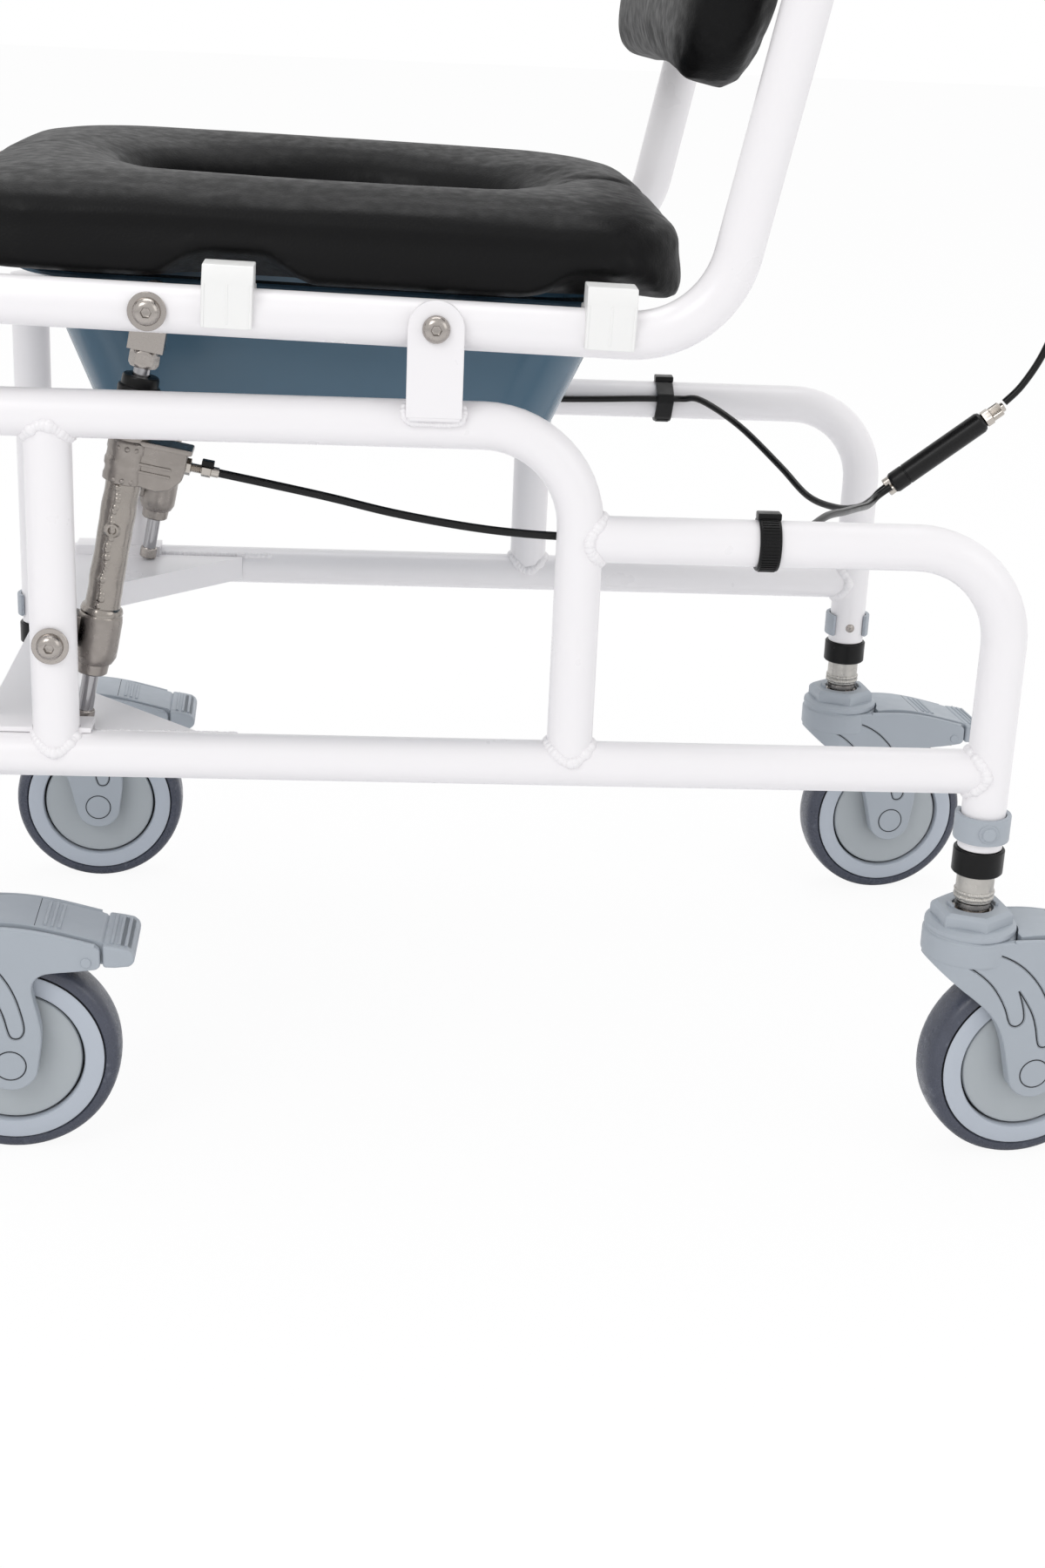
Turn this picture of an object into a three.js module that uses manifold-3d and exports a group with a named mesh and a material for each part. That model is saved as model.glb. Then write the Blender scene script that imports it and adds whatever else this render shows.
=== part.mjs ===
// Shower commode chair that tilts in space: a tube base on four braked castors carries a seat frame
// on two pivot bolts, and two locking struts hold it at its angle. Millimetres, +Z up, the front
// looks along -X and the sitter's left side is -Y. Places are given from the rear leg's axis (X),
// the middle of the chair (Y) and the floor (Z).
import * as THREE from "three";
import { mergeVertices } from "three/addons/utils/BufferGeometryUtils.js";
import Module from "manifold-3d";

const wasm = await Module();
wasm.setup();

// Fits
const REST_GAP = 0.3;
const PIN_GAP = 0.5;
const RUN_GAP = 1.2;
const OVERRUN = 3;

// Facets
const TUBE_SIDES = 12;
const PIN_SIDES = 12;
const CORD_SIDES = 8;
const WHEEL_SIDES = 24;
const HEAD_SIDES = 20;
const HEX_SIDES = 6;
const BEND_STEPS = 5;
const CORNER_STEPS = 4;
const ARC_STEPS = 8;

// Frame tube and the base's grid
const TUBE_R = 14;
const TUBE_BEND_R = 60;
const FRAME_HALF = 225;
const REAR_LEG_X = 0;
const UPRIGHT_X = -263.4;
const STRUT_POST_X = -575;
const FRONT_LEG_X = -651;
const LOWER_RAIL_Z = 266;
const MID_RAIL_Z = 408;
const UPPER_RAIL_Z = 474;
const LEG_END_Z = 216;
const LEG_BORE_TOP_Z = 262;

// Tilt pivot, its welded bracket and its bolt
const PIVOT_X = -352.6;
const PIVOT_Z = 531.8;
const REST_TILT_DEG = 1.4;
const BRACKET_WIDTH = 34;
const BRACKET_WALL = 5;
const BRACKET_GAP = 1;
const BRACKET_FOOT_Z = 480;
const BRACKET_WELD_HEIGHT = 16;
const PIVOT_BOLT_R = 5;
const BUTTON_HEAD_R = 8;
const BUTTON_HEAD_HEIGHT = 5;
const NUT_R = 9;
const NUT_HEIGHT = 7;

// Front cross plate
const PLATE_TOP_Z = 276;
const PLATE_HEIGHT = 18;
const PLATE_WALL = 3;
const PLATE_LEAD = 49;
const PLATE_WIDTH = 44;
const PLATE_FRONT_X = STRUT_POST_X - PLATE_LEAD;
const PLATE_REAR_X = PLATE_FRONT_X + PLATE_WIDTH;
const GUSSET_REACH = 90;
const GUSSET_REAR_X = PLATE_REAR_X + GUSSET_REACH;
const TAB_LEAD = 44;
const TAB_LENGTH = 65;
const TAB_FRONT_X = STRUT_POST_X - TAB_LEAD;
const TAB_REAR_X = TAB_FRONT_X + TAB_LENGTH;
const TAB_OVERLAP = 22;
const TAB_INNER = 18.5;

// Castor: everything below the leg
const WHEEL_R = 67;
const WHEEL_HALF = 16;
const TREAD_HALF = 8.5;
const SHOULDER_R = 63.5;
const SHOULDER_HALF = 14;
const RING_R = 57.5;
const DISC_R = 44;
const DISC_RECESS = 2;
const AXLE_R = 5;
const AXLE_CAP_R = 9.5;
const AXLE_CAP_RISE = 1.4;
const CASTOR_TRAIL = 44;
const FORK_HALF = 28;
const CHEEK_WALL = 9;
const WHEEL_ROOM = 3.5;
const HEX_R = 26.5;
const HEX_TOP_Z = 176;
const FLANGE_R = 30;
const FLANGE_TOP_Z = 167;
const HEAD_TOP_Z = 160;
const HEAD_LOW_Z = 138;
const HEAD_FOOT_Z = 122;
const HEAD_FOOT_R = 19;
const HEAD_BORE_Z = 152;
const STEM_R = 12;
const STEM_FOOT_R = 8.5;
const STEM_SHOULDER_Z = 179;
const STEM_FOOT_Z = 153;
const STEM_TOP_Z = 258;
const BUSH_R = 16.2;
const BUSH_HEIGHT = 16.5;
const CLIP_R = 17.6;
const CLIP_LOW_Z = 222;
const CLIP_HEIGHT = 17;
const CLIP_OPENING_DEG = 96;
const CLIP_BUTTON_R = 6;
const CLIP_BUTTON_RISE = 2.2;

// Brake pedal, placed from the axle
const PEDAL_HALF = 22;
const PEDAL_END_HALF = 27;
const PEDAL_PIN_R = 2.5;
const PEDAL_PIN_BACK = 47;
const PEDAL_PIN_Z = 140.7;
const PEDAL_END_BACK = 78;
const PEDAL_BLOCK_BACK = 59;

// Locking strut: heights are along its rod from the lower bolt
const STRUT_PLANE_INSET = 27.5;
const STRUT_BOLT_Z = 338;
const STRUT_TOP_BACK = -162.7;
const ROD_OFFSET = 23;
const ROD_R = 5;
const ROD_TAIL = -57;
const BARREL_R = 13.5;
const BARREL_LOW = -16;
const BARREL_TIP = -25;
const BARREL_TIP_R = 10;
const BARREL_TOP = 12.3;
const STRUT_TUBE_R = 10.5;
const HOUSING_LOW = 96;
const HOUSING_TOP = 122;
const HOUSING_REACH = 35;
const HOUSING_HALF = 9;
const HOUSING_HOOP_R = 13;
const STRUT_NECK_R = 11.5;
const STRUT_CAP_LOW = 148;
const STRUT_CAP_TOP = 161;
const STRUT_CAP_R = 12.7;
const STRUT_CAP_LIP_R = 11;
const STRUT_CAP_LIP = 6;
const CABLE_PORT_HEIGHT = 113;
const CABLE_PORT_REACH = 54;
const CABLE_PORT_R = 3.6;
const LUG_R = 11;
const LUG_HALF = 8;
const STRUT_BOLT_R = 4;
const STRUT_WASHER_R = 11;
const STRUT_WASHER = 2;
const SMALL_WASHER_R = 10;
const SMALL_NUT_R = 8;
const STRUT_SPACER_R = 12;
const LOCK_NUT_R = 9;
const LOCK_NUT_HEIGHT = 10;
const CLEVIS_BELOW = 29;
const CLEVIS_ABOVE = 11;
const CLEVIS_WIDTH = 21;
const CLEVIS_HALF = 8;
const CLEVIS_SLOT_HALF = 4.2;
const CLEVIS_SLOT_BELOW = 17;
const CLEVIS_PIN_ROOM = 3.4;
const SLEEVE_R = 6.2;
const SLEEVE_HALF = 3.6;

// Seat frame: places are from the tilt pivot, along and square to the seat tube
const SEAT_BEND_X = 111.6;
const SEAT_FRONT_X = -336;
const RECLINE_DEG = 10;
const POST_LENGTH = 270;
const BACK_SLEEVE_R = 16.5;
const BACK_SLEEVE_LENGTH = 34;
const BACK_RISE = 190;
const PUSH_REACH = 116;
const LUMBAR_RISE = 70;
const FRONT_CROSS_X = -312;
const HANGER_R = 11;
const HANGER_HALF = 112;
const HANGER_BEND_R = 50;
const HANGER_REACH = 88;
const HANGER_DROP = 372;
const HANGER_LEAN = 18;
const RUNNER_FRONT_X = -243;
const RUNNER_REAR_X = 108;
const RUNNER_INSET = 57;
const RUNNER_WIDTH = 15;
const RUNNER_OUT = FRAME_HALF - RUNNER_INSET;
const RUNNER_IN = RUNNER_OUT - RUNNER_WIDTH;
const RUNNER_WALL = 3;
const RUNNER_TOP = 3.5;
const RUNNER_ARM_X = [-205, 26, 92];
const RUNNER_ARM_WIDTH = 26;

// Seat clips
const CLIP_PLACES_X = [-118.1, 99.2];
const SEAT_CLIP_WIDTH = 29;
const SEAT_CLIP_WALL = 3.2;
const SEAT_CLIP_TOP = 28;
const SEAT_CLIP_LIP = 8;
const SEAT_CLIP_SHOULDER = 18;
const SEAT_CLIP_FOOT = 7;
const SEAT_CLIP_CHAMFER = 4;
const SEAT_CLIP_LEDGE = 22;
const SEAT_CLIP_LEDGE_WALL = 4;

// Seat pad with its opening
const PAD_FRONT_X = -292;
const PAD_REAR_X = 148;
const PAD_HALF = FRAME_HALF - SEAT_CLIP_LIP - REST_GAP;
const PAD_CORNER_R = 60;
const PAD_THICK = 46;
const PAD_CROWN = 7;
const PAD_EDGE_R = 14;
const HOLE_CENTRE_X = -66;
const HOLE_LENGTH = 270;
const HOLE_WIDTH = 205;

// Back pad
const BACK_PAD_LOW = 74;
const BACK_PAD_HEIGHT = 356;
const BACK_PAD_INSET = 6;
const BACK_PAD_HALF = FRAME_HALF - BACK_PAD_INSET;
const BACK_PAD_THICK = 42;
const BACK_PAD_CROWN = 12;
const BACK_PAD_CORNER_R = 60;
const BACK_PAD_PULL = 5;

// Armrests
const ARM_HEIGHT = 225;
const ARM_INSET = 43.5;
const ARM_R = 12.5;
const ARM_HUB_R = 17;
const ARM_PIN_R = 6;
const ARM_LENGTH = 352;
const ARM_DROP = 60;
const ARM_BEND_R = 45;
const ARM_PAD_LENGTH = 270;
const ARM_PAD_WIDTH = 52;
const ARM_PAD_THICK = 30;
const ARM_PAD_BACK = 58;
const ARM_PAD_CORNER_R = 22;
const ARM_PAD_CROWN = 5;

// Commode pan
const PAN_FRONT_X = -241;
const PAN_REAR_X = 112.5;
const PAN_RUN_GAP = 3;
const PAN_HALF = RUNNER_IN - PAN_RUN_GAP;
const PAN_TAPER = 31;
const PAN_DEPTH = 96;
const PAN_WALL = 3;
const PAN_CORNER_R = 48;
const PAN_RIM = 12;
const PAN_RIM_HEIGHT = 4;
const PAN_GRIP_REACH = 30;
const PAN_GRIP_HALF = 60;

// Footplate
const PLATE_LENGTH = 168;
const PLATE_HALF = 165;
const PLATE_THICK = 12;
const PLATE_CORNER_R = 38;
const PLATE_BARREL_R = 12;
const PLATE_PIN_R = 6;

// Release lever and its clamp on the push bar
const LEVER_Y = 62;
const CLAMP_R = 18.5;
const CLAMP_WIDTH = 26;
const LEVER_DROP = 38;
const LEVER_FORK_HALF = 10;
const LEVER_FORK_WALL = 4;
const LEVER_PIN_R = 3;
const LEVER_EYE_R = 7;
const LEVER_LENGTH = 118;
const LEVER_BLADE = 7;
const LEVER_BLADE_HALF = 5;
const CABLE_STOP_R = 5.5;

// Release cables: the routes are chosen by hand along the ways that the cables are led
const CABLE_R = 2.5;
const ROUTE_HALF = 225;
const ROUTE_TURN_Y = 190;
const NEAR_ROUTE = [
  [-478.5, 197.6, 435.1],
  [-450, 198.6, 429.9],
  [-412, 201.2, 423],
  [-375, 204, 415.5],
  [-335, 206.3, 409.5],
  [-300, 207.3, 406],
  [-262, 207.9, 404.6],
  [-220, 208, 405],
  [-185, 208, 405.8],
  [-151, 207.9, 407],
  [-136, 207.7, 408],
  [-121, 194, 410.5],
  [-103, 160, 410.5],
  [-84, 120, 404],
  [-66, 75, 396],
  [-52, 38, 389],
  [-43, 13, 385.6],
  [-36.5, 3.6, 388.6],
  [-28, 3.2, 395.2],
];
const FAR_ROUTE = [
  [-478.5, 197.6, 435.1],
  [-450, 198.6, 429.9],
  [-412, 201.2, 423],
  [-375, 204, 415.5],
  [-335, 206.3, 411],
  [-300, 207.3, 409.5],
  [-262, 207.9, 409],
  [-220, 208, 410],
  [-185, 208, 411.5],
  [-163, 207.9, 412],
  [-149, 207.7, 412.4],
  [-136, 197, 413.5],
  [-111, 160, 402],
  [-84, 124, 380],
  [-67, 92, 365],
  [-52, 60, 364.5],
  [-42, 31, 372],
  [-37.5, 10, 382.5],
  [-34.5, 4, 389],
  [-28, 3.2, 395.2],
];
const LEVER_ROUTE = [
  [46, 0, 455.6],
  [57, 0, 468],
  [69, 0, 490],
  [78, 0, 520],
  [84, 1, 560],
  [86, 2, 610],
  [85, 3, 670],
  [80, 4, 740],
  [72, 4, 810],
  [61, 2, 880],
  [50, -2, 930],
  [41, -4, 962],
  [35, 2, 984],
  [31.5, 18, 996],
  [30.2, 34, 998.3],
  [30.0, 48.6, 998.4],
];
const CORD_STEP_SHARE = 3;
const SPLITTER_R = 7.5;
const SPLITTER_FROM = [-27, 0, 396];
const SPLITTER_TO = [33, 0, 443];
const SPLITTER_NECK_R = 4.5;
const SPLITTER_NECK_TO = [45.6, 0, 455.1];
const STRAP_WIDTH = 13;
const STRAP_WALL = 2.2;
const STRAP_GAP = 0.6;
const NEAR_STRAP_X = -151;
const FAR_STRAP_X = -163;

const SIDES = [
  { name: "left", out: -1 },
  { name: "right", out: 1 },
];
const CASTORS = [
  { name: "left_front", x: FRONT_LEG_X, out: -1, swivel: 1.3 },
  { name: "right_front", x: FRONT_LEG_X, out: 1, swivel: 2.3 },
  { name: "left_rear", x: REAR_LEG_X, out: -1, swivel: 8.5 },
  { name: "right_rear", x: REAR_LEG_X, out: 1, swivel: 7.3 },
];

const rad = THREE.MathUtils.degToRad;
const vec = (x, y, z) => new THREE.Vector3(x, y, z);
const AXIS_X = vec(1, 0, 0);
const AXIS_Y = vec(0, 1, 0);
const AXIS_Z = vec(0, 0, 1);
const MERGE_TOLERANCE = 1e-3;

// Solids and skins

// A closed mesh as a solid with its faces outwards.
function solidOf(geometry) {
  const bare = new THREE.BufferGeometry();
  const loose = geometry.index ? geometry.toNonIndexed() : geometry;
  bare.setAttribute("position", loose.getAttribute("position"));
  const merged = mergeVertices(bare, MERGE_TOLERANCE);
  const kept = [];
  const index = merged.index.array;
  for (let i = 0; i < index.length; i += 3) {
    const [a, b, c] = [index[i], index[i + 1], index[i + 2]];
    if (a !== b && b !== c && a !== c) kept.push(a, b, c);
  }
  const build = (triVerts) =>
    new wasm.Manifold(
      new wasm.Mesh({
        numProp: 3,
        vertProperties: merged.getAttribute("position").array,
        triVerts: new Uint32Array(triVerts),
      }),
    );
  const made = build(kept);
  return made.volume() > 0 ? made : build(kept.reverse());
}

function geometryOf(solid) {
  const mesh = solid.getMesh();
  const places = new Float32Array(mesh.numVert * 3);
  for (let i = 0; i < mesh.numVert; i++) {
    const start = i * mesh.numProp;
    places.set(mesh.vertProperties.subarray(start, start + 3), i * 3);
  }
  const geometry = new THREE.BufferGeometry();
  geometry.setAttribute("position", new THREE.BufferAttribute(places, 3));
  geometry.setIndex(new THREE.BufferAttribute(mesh.triVerts, 1));
  const flat = geometry.toNonIndexed();
  flat.computeVertexNormals();
  return flat;
}

const join = (...solids) => solids.reduce((whole, next) => whole.add(next));
const cut = (solid, ...tools) => tools.reduce((rest, tool) => rest.subtract(tool), solid);

// Basic shapes

// A straight round bar from one point to another, with its own radius at each end.
function bar(from, to, radius, sides = PIN_SIDES, endRadius = radius) {
  const along = to.clone().sub(from);
  const geometry = new THREE.CylinderGeometry(endRadius, radius, along.length(), sides);
  geometry.applyQuaternion(
    new THREE.Quaternion().setFromUnitVectors(AXIS_Y, along.clone().normalize()),
  );
  const middle = from.clone().lerp(to, 1 / 2);
  geometry.translate(middle.x, middle.y, middle.z);
  return solidOf(geometry);
}

const barY = (x, z, from, to, radius, sides) => bar(vec(x, from, z), vec(x, to, z), radius, sides);
const barZ = (x, y, from, to, radius, sides) => bar(vec(x, y, from), vec(x, y, to), radius, sides);

function box(fromX, toX, fromY, toY, fromZ, toZ) {
  const geometry = new THREE.BoxGeometry(
    Math.abs(toX - fromX),
    Math.abs(toY - fromY),
    Math.abs(toZ - fromZ),
  );
  geometry.translate((fromX + toX) / 2, (fromY + toY) / 2, (fromZ + toZ) / 2);
  return solidOf(geometry);
}

// An outline, drawn along the first two axes, made as deep as depth along the third.
function slab(shape, depth, axes, origin) {
  const geometry = new THREE.ExtrudeGeometry(shape, {
    depth,
    bevelEnabled: false,
    curveSegments: ARC_STEPS,
    steps: 1,
  });
  const frame = new THREE.Matrix4().makeBasis(...axes).setPosition(origin);
  geometry.applyMatrix4(frame);
  return solidOf(geometry);
}

const outlineOf = (points) => new THREE.Shape(points.map(([a, b]) => new THREE.Vector2(a, b)));
const sideSlab = (shape, fromY, toY) =>
  slab(shape, toY - fromY, [AXIS_X, AXIS_Z, AXIS_Y], vec(0, fromY, 0));
const planSlab = (shape, fromZ, toZ) =>
  slab(shape, toZ - fromZ, [AXIS_X, AXIS_Y, AXIS_Z], vec(0, 0, fromZ));

// A rectangle with round corners, with its long sides divided and drawn in by pull.
function roundedLoop(halfA, halfB, radius, sideSteps = 1, pull = 0) {
  const points = [];
  const corners = [
    [halfA - radius, halfB - radius, 0],
    [radius - halfA, halfB - radius, 1],
    [radius - halfA, radius - halfB, 2],
    [halfA - radius, radius - halfB, 3],
  ];
  corners.forEach(([a, b, turn], k) => {
    for (let i = 0; i <= CORNER_STEPS; i++) {
      const angle = ((turn + i / CORNER_STEPS) * Math.PI) / 2;
      points.push([a + radius * Math.cos(angle), b + radius * Math.sin(angle)]);
    }
    const [nextA, nextB] = corners[(k + 1) % corners.length];
    const end = ((turn + 1) * Math.PI) / 2;
    const normal = [Math.cos(end), Math.sin(end)];
    for (let j = 1; j < sideSteps; j++) {
      const share = j / sideSteps;
      const draw = radius - pull * Math.sin(Math.PI * share);
      points.push([
        a + (nextA - a) * share + normal[0] * draw,
        b + (nextB - b) * share + normal[1] * draw,
      ]);
    }
  });
  return points;
}

// Rings of as many points joined into one closed skin: a fan closes each end, or the last ring
// meets the first.
function loft(rings, around = false) {
  const count = rings[0].length;
  const places = rings.flat().flatMap((p) => [p.x, p.y, p.z]);
  const index = [];
  const last = around ? rings.length : rings.length - 1;
  for (let r = 0; r < last; r++) {
    const low = r * count;
    const high = ((r + 1) % rings.length) * count;
    for (let i = 0; i < count; i++) {
      const j = (i + 1) % count;
      index.push(low + i, low + j, high + j, low + i, high + j, high + i);
    }
  }
  if (!around) {
    [rings[0], rings.at(-1)].forEach((ring, end) => {
      const centre = ring.reduce((sum, p) => sum.add(p), vec(0, 0, 0)).divideScalar(count);
      const hub = places.length / 3;
      places.push(centre.x, centre.y, centre.z);
      const start = end * (rings.length - 1) * count;
      for (let i = 0; i < count; i++) {
        const j = (i + 1) % count;
        if (end) index.push(start + i, start + j, hub);
        else index.push(start + j, start + i, hub);
      }
    });
  }
  const geometry = new THREE.BufferGeometry();
  geometry.setAttribute("position", new THREE.Float32BufferAttribute(places, 3));
  geometry.setIndex(index);
  return solidOf(geometry);
}

// A solid turned about the axis that runs along Y through its own origin.
function turned(profile, sides, place) {
  const geometry = new THREE.LatheGeometry(
    profile.map(([radius, along]) => new THREE.Vector2(radius, along)),
    sides,
    Math.PI / sides,
  );
  geometry.translate(place.x, place.y, place.z);
  return solidOf(geometry);
}

// Bent tube

// A run of straight tube with a round bend at each inner corner.
class BentRun extends THREE.Curve {
  constructor(corners, bendRadius, bendSteps = BEND_STEPS) {
    super();
    this.places = [corners[0].clone()];
    this.directions = [corners[1].clone().sub(corners[0]).normalize()];
    for (let k = 1; k < corners.length - 1; k++) {
      const before = corners[k].clone().sub(corners[k - 1]).normalize();
      const after = corners[k + 1].clone().sub(corners[k]).normalize();
      const turn = before.angleTo(after);
      const reach = bendRadius * Math.tan(turn / 2);
      const inward = after.clone().sub(before).normalize();
      const centre = corners[k].clone().addScaledVector(before, -reach);
      const square = inward.clone().addScaledVector(before, -inward.dot(before)).normalize();
      centre.addScaledVector(square, bendRadius);
      for (let i = 0; i <= bendSteps; i++) {
        const angle = (turn * i) / bendSteps;
        const place = centre.clone().addScaledVector(square, -bendRadius * Math.cos(angle));
        place.addScaledVector(before, bendRadius * Math.sin(angle));
        this.places.push(place);
        const heading = before.clone().multiplyScalar(Math.cos(angle));
        this.directions.push(heading.addScaledVector(square, Math.sin(angle)).normalize());
      }
    }
    this.places.push(corners.at(-1).clone());
    this.directions.push(this.directions.at(-1).clone());
  }

  get steps() {
    return this.places.length - 1;
  }

  getPointAt(share, target = vec(0, 0, 0)) {
    return target.copy(this.places[Math.round(share * this.steps)]);
  }

  getTangentAt(share, target = vec(0, 0, 0)) {
    return target.copy(this.directions[Math.round(share * this.steps)]);
  }
}

const ringShape = (radius, sides) =>
  new THREE.Shape(
    Array.from({ length: sides }, (_, i) => {
      const angle = (2 * Math.PI * (i + 1 / 2)) / sides;
      return new THREE.Vector2(radius * Math.cos(angle), radius * Math.sin(angle));
    }),
  );

// Round tube along a run of corners.
function tube(corners, radius = TUBE_R, bendRadius = TUBE_BEND_R, sides = TUBE_SIDES) {
  const run = new BentRun(corners, bendRadius);
  return solidOf(
    new THREE.ExtrudeGeometry(ringShape(radius, sides), {
      steps: run.steps,
      extrudePath: run,
      bevelEnabled: false,
    }),
  );
}

// A cable along its hand-led route.
function cable(route) {
  const curve = new THREE.CatmullRomCurve3(route, false, "centripetal");
  const steps = Math.round(curve.getLength() / (CABLE_R * 2 * CORD_STEP_SHARE));
  return solidOf(
    new THREE.ExtrudeGeometry(ringShape(CABLE_R, CORD_SIDES), {
      steps,
      extrudePath: curve,
      bevelEnabled: false,
    }),
  );
}

// Finishes

const finish = (color, roughness, metalness = 0) => () =>
  new THREE.MeshStandardMaterial({ color, roughness, metalness });
const whitePaint = finish(0xedeaed, 0.35);
const whitePlastic = finish(0xf4f4f2, 0.45);
const castorGrey = finish(0xa5acb4, 0.5);
const clipGrey = finish(0x9aa0a8, 0.5);
const wheelGrey = finish(0xb2bcc8, 0.5);
const blackRubber = finish(0x1a1a1b, 0.6);
const blackFoam = finish(0x1c1c1d, 0.8);
const steel = finish(0x96908c, 0.35, 0.9);
const castMetal = finish(0x8d8982, 0.5, 0.8);
const panBlue = finish(0x4e6473, 0.25);

const chair = new THREE.Group();
function add(name, solid, material, parent = chair) {
  const mesh = new THREE.Mesh(geometryOf(solid), material());
  mesh.name = name;
  parent.add(mesh);
}

// Base side frame

function bracketPlate(out) {
  const inner = FRAME_HALF + TUBE_R + BRACKET_GAP;
  const half = BRACKET_WIDTH / 2;
  const shape = new THREE.Shape();
  shape.moveTo(-half, BRACKET_FOOT_Z - PIVOT_Z);
  shape.lineTo(half, BRACKET_FOOT_Z - PIVOT_Z);
  shape.lineTo(half, 0);
  shape.absarc(0, 0, half, 0, Math.PI);
  shape.closePath();
  const from = Math.min(out * inner, out * (inner + BRACKET_WALL));
  const plate = slab(shape, BRACKET_WALL, [AXIS_X, AXIS_Z, AXIS_Y], vec(PIVOT_X, from, PIVOT_Z));
  const weld = box(
    PIVOT_X - half,
    PIVOT_X + half,
    out * (FRAME_HALF + TUBE_R / 2),
    out * (inner + BRACKET_WALL / 2),
    UPPER_RAIL_Z - BRACKET_WELD_HEIGHT / 2,
    UPPER_RAIL_Z + BRACKET_WELD_HEIGHT / 2,
  );
  const bore = barY(
    PIVOT_X,
    PIVOT_Z,
    out * (inner - OVERRUN),
    out * (inner + BRACKET_WALL + OVERRUN),
    PIVOT_BOLT_R + PIN_GAP,
  );
  return [join(plate, weld), bore];
}

function baseSide(out) {
  const y = out * FRAME_HALF;
  const at = (x, z) => vec(x, y, z);
  const lower = tube([at(FRONT_LEG_X, LOWER_RAIL_Z), at(REAR_LEG_X, LOWER_RAIL_Z)]);
  const rear = tube([
    at(UPRIGHT_X, MID_RAIL_Z),
    at(REAR_LEG_X, MID_RAIL_Z),
    at(REAR_LEG_X, LEG_END_Z),
  ]);
  const upper = tube([
    at(FRONT_LEG_X, UPPER_RAIL_Z),
    at(UPRIGHT_X, UPPER_RAIL_Z),
    at(UPRIGHT_X, LOWER_RAIL_Z),
  ]);
  const front = tube([at(FRONT_LEG_X, UPPER_RAIL_Z + TUBE_R), at(FRONT_LEG_X, LEG_END_Z)]);
  const post = tube([at(STRUT_POST_X, UPPER_RAIL_Z), at(STRUT_POST_X, LOWER_RAIL_Z)]);
  const [plate, pivotBore] = bracketPlate(out);
  const boltBore = barY(
    STRUT_POST_X,
    STRUT_BOLT_Z,
    y - TUBE_R - OVERRUN,
    y + TUBE_R + OVERRUN,
    STRUT_BOLT_R + PIN_GAP,
  );
  const legBores = [FRONT_LEG_X, REAR_LEG_X].map((x) =>
    barZ(x, y, LEG_END_Z - OVERRUN, LEG_BORE_TOP_Z, STEM_R + PIN_GAP, TUBE_SIDES),
  );
  return cut(join(lower, rear, upper, front, post, plate), pivotBore, boltBore, ...legBores);
}

for (const { name, out } of SIDES) add(`${name}_base_side`, baseSide(out), whitePaint);

// Front cross plate

function crossPlate() {
  const end = FRAME_HALF - TUBE_R - REST_GAP;
  const inner = end - GUSSET_REACH;
  const outline = (inset) => {
    const reach = end - (inset ? -OVERRUN : 0);
    return outlineOf([
      [PLATE_FRONT_X + inset, -reach],
      [GUSSET_REAR_X - inset * (1 + Math.SQRT2), -reach],
      [PLATE_REAR_X - inset, -inner + inset * (Math.SQRT2 - 1)],
      [PLATE_REAR_X - inset, inner - inset * (Math.SQRT2 - 1)],
      [GUSSET_REAR_X - inset * (1 + Math.SQRT2), reach],
      [PLATE_FRONT_X + inset, reach],
    ]);
  };
  const low = PLATE_TOP_Z - PLATE_HEIGHT;
  const channel = cut(
    planSlab(outline(0), low, PLATE_TOP_Z),
    planSlab(outline(PLATE_WALL), low - OVERRUN, PLATE_TOP_Z - PLATE_WALL),
  );
  const tabLow = LOWER_RAIL_Z + TUBE_R + REST_GAP;
  const tabs = SIDES.flatMap(({ out }) => [
    box(
      TAB_FRONT_X,
      TAB_REAR_X,
      out * (FRAME_HALF - TAB_INNER),
      out * (FRAME_HALF - TAB_INNER + TAB_OVERLAP),
      tabLow,
      tabLow + PLATE_WALL,
    ),
    box(
      TAB_FRONT_X,
      TAB_REAR_X,
      out * (FRAME_HALF - TAB_INNER),
      out * (FRAME_HALF - TAB_INNER + PLATE_WALL),
      PLATE_TOP_Z - PLATE_WALL,
      tabLow + PLATE_WALL,
    ),
  ]);
  const posts = SIDES.map(({ out }) =>
    barZ(STRUT_POST_X, out * FRAME_HALF, low, tabLow + TUBE_R, TUBE_R + REST_GAP * 2, TUBE_SIDES),
  );
  return cut(join(channel, ...tabs), ...posts);
}
add("front_cross_plate", crossPlate(), whitePaint);

// Bolts

// A button-head bolt through the frame tube from outside, with its washer and its nut inside.
function boltThrough(x, z, out, shank, headAt, washerRadius, nutAt) {
  const head = headAt + (washerRadius ? STRUT_WASHER : 0);
  const pieces = [
    barY(x, z, out * nutAt, out * (head + BUTTON_HEAD_HEIGHT / 2), shank),
    bar(
      vec(x, out * head, z),
      vec(x, out * (head + BUTTON_HEAD_HEIGHT), z),
      BUTTON_HEAD_R,
      PIN_SIDES,
      BUTTON_HEAD_R * (3 / 4),
    ),
  ];
  if (washerRadius) pieces.push(barY(x, z, out * headAt, out * head, washerRadius));
  return join(...pieces);
}
const nut = (x, z, out, from, radius, height) =>
  barY(x, z, out * from, out * (from - height), radius, HEX_SIDES);

for (const { name, out } of SIDES) {
  const outside = FRAME_HALF + TUBE_R + BRACKET_GAP + BRACKET_WALL + REST_GAP;
  const inside = FRAME_HALF - TUBE_R - REST_GAP;
  const bolt = boltThrough(
    PIVOT_X,
    PIVOT_Z,
    out,
    PIVOT_BOLT_R,
    outside,
    0,
    inside - NUT_HEIGHT / 2,
  );
  add(
    `${name}_pivot_bolt`,
    join(bolt, nut(PIVOT_X, PIVOT_Z, out, inside, NUT_R, NUT_HEIGHT)),
    steel,
  );
}

// Castors

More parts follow.
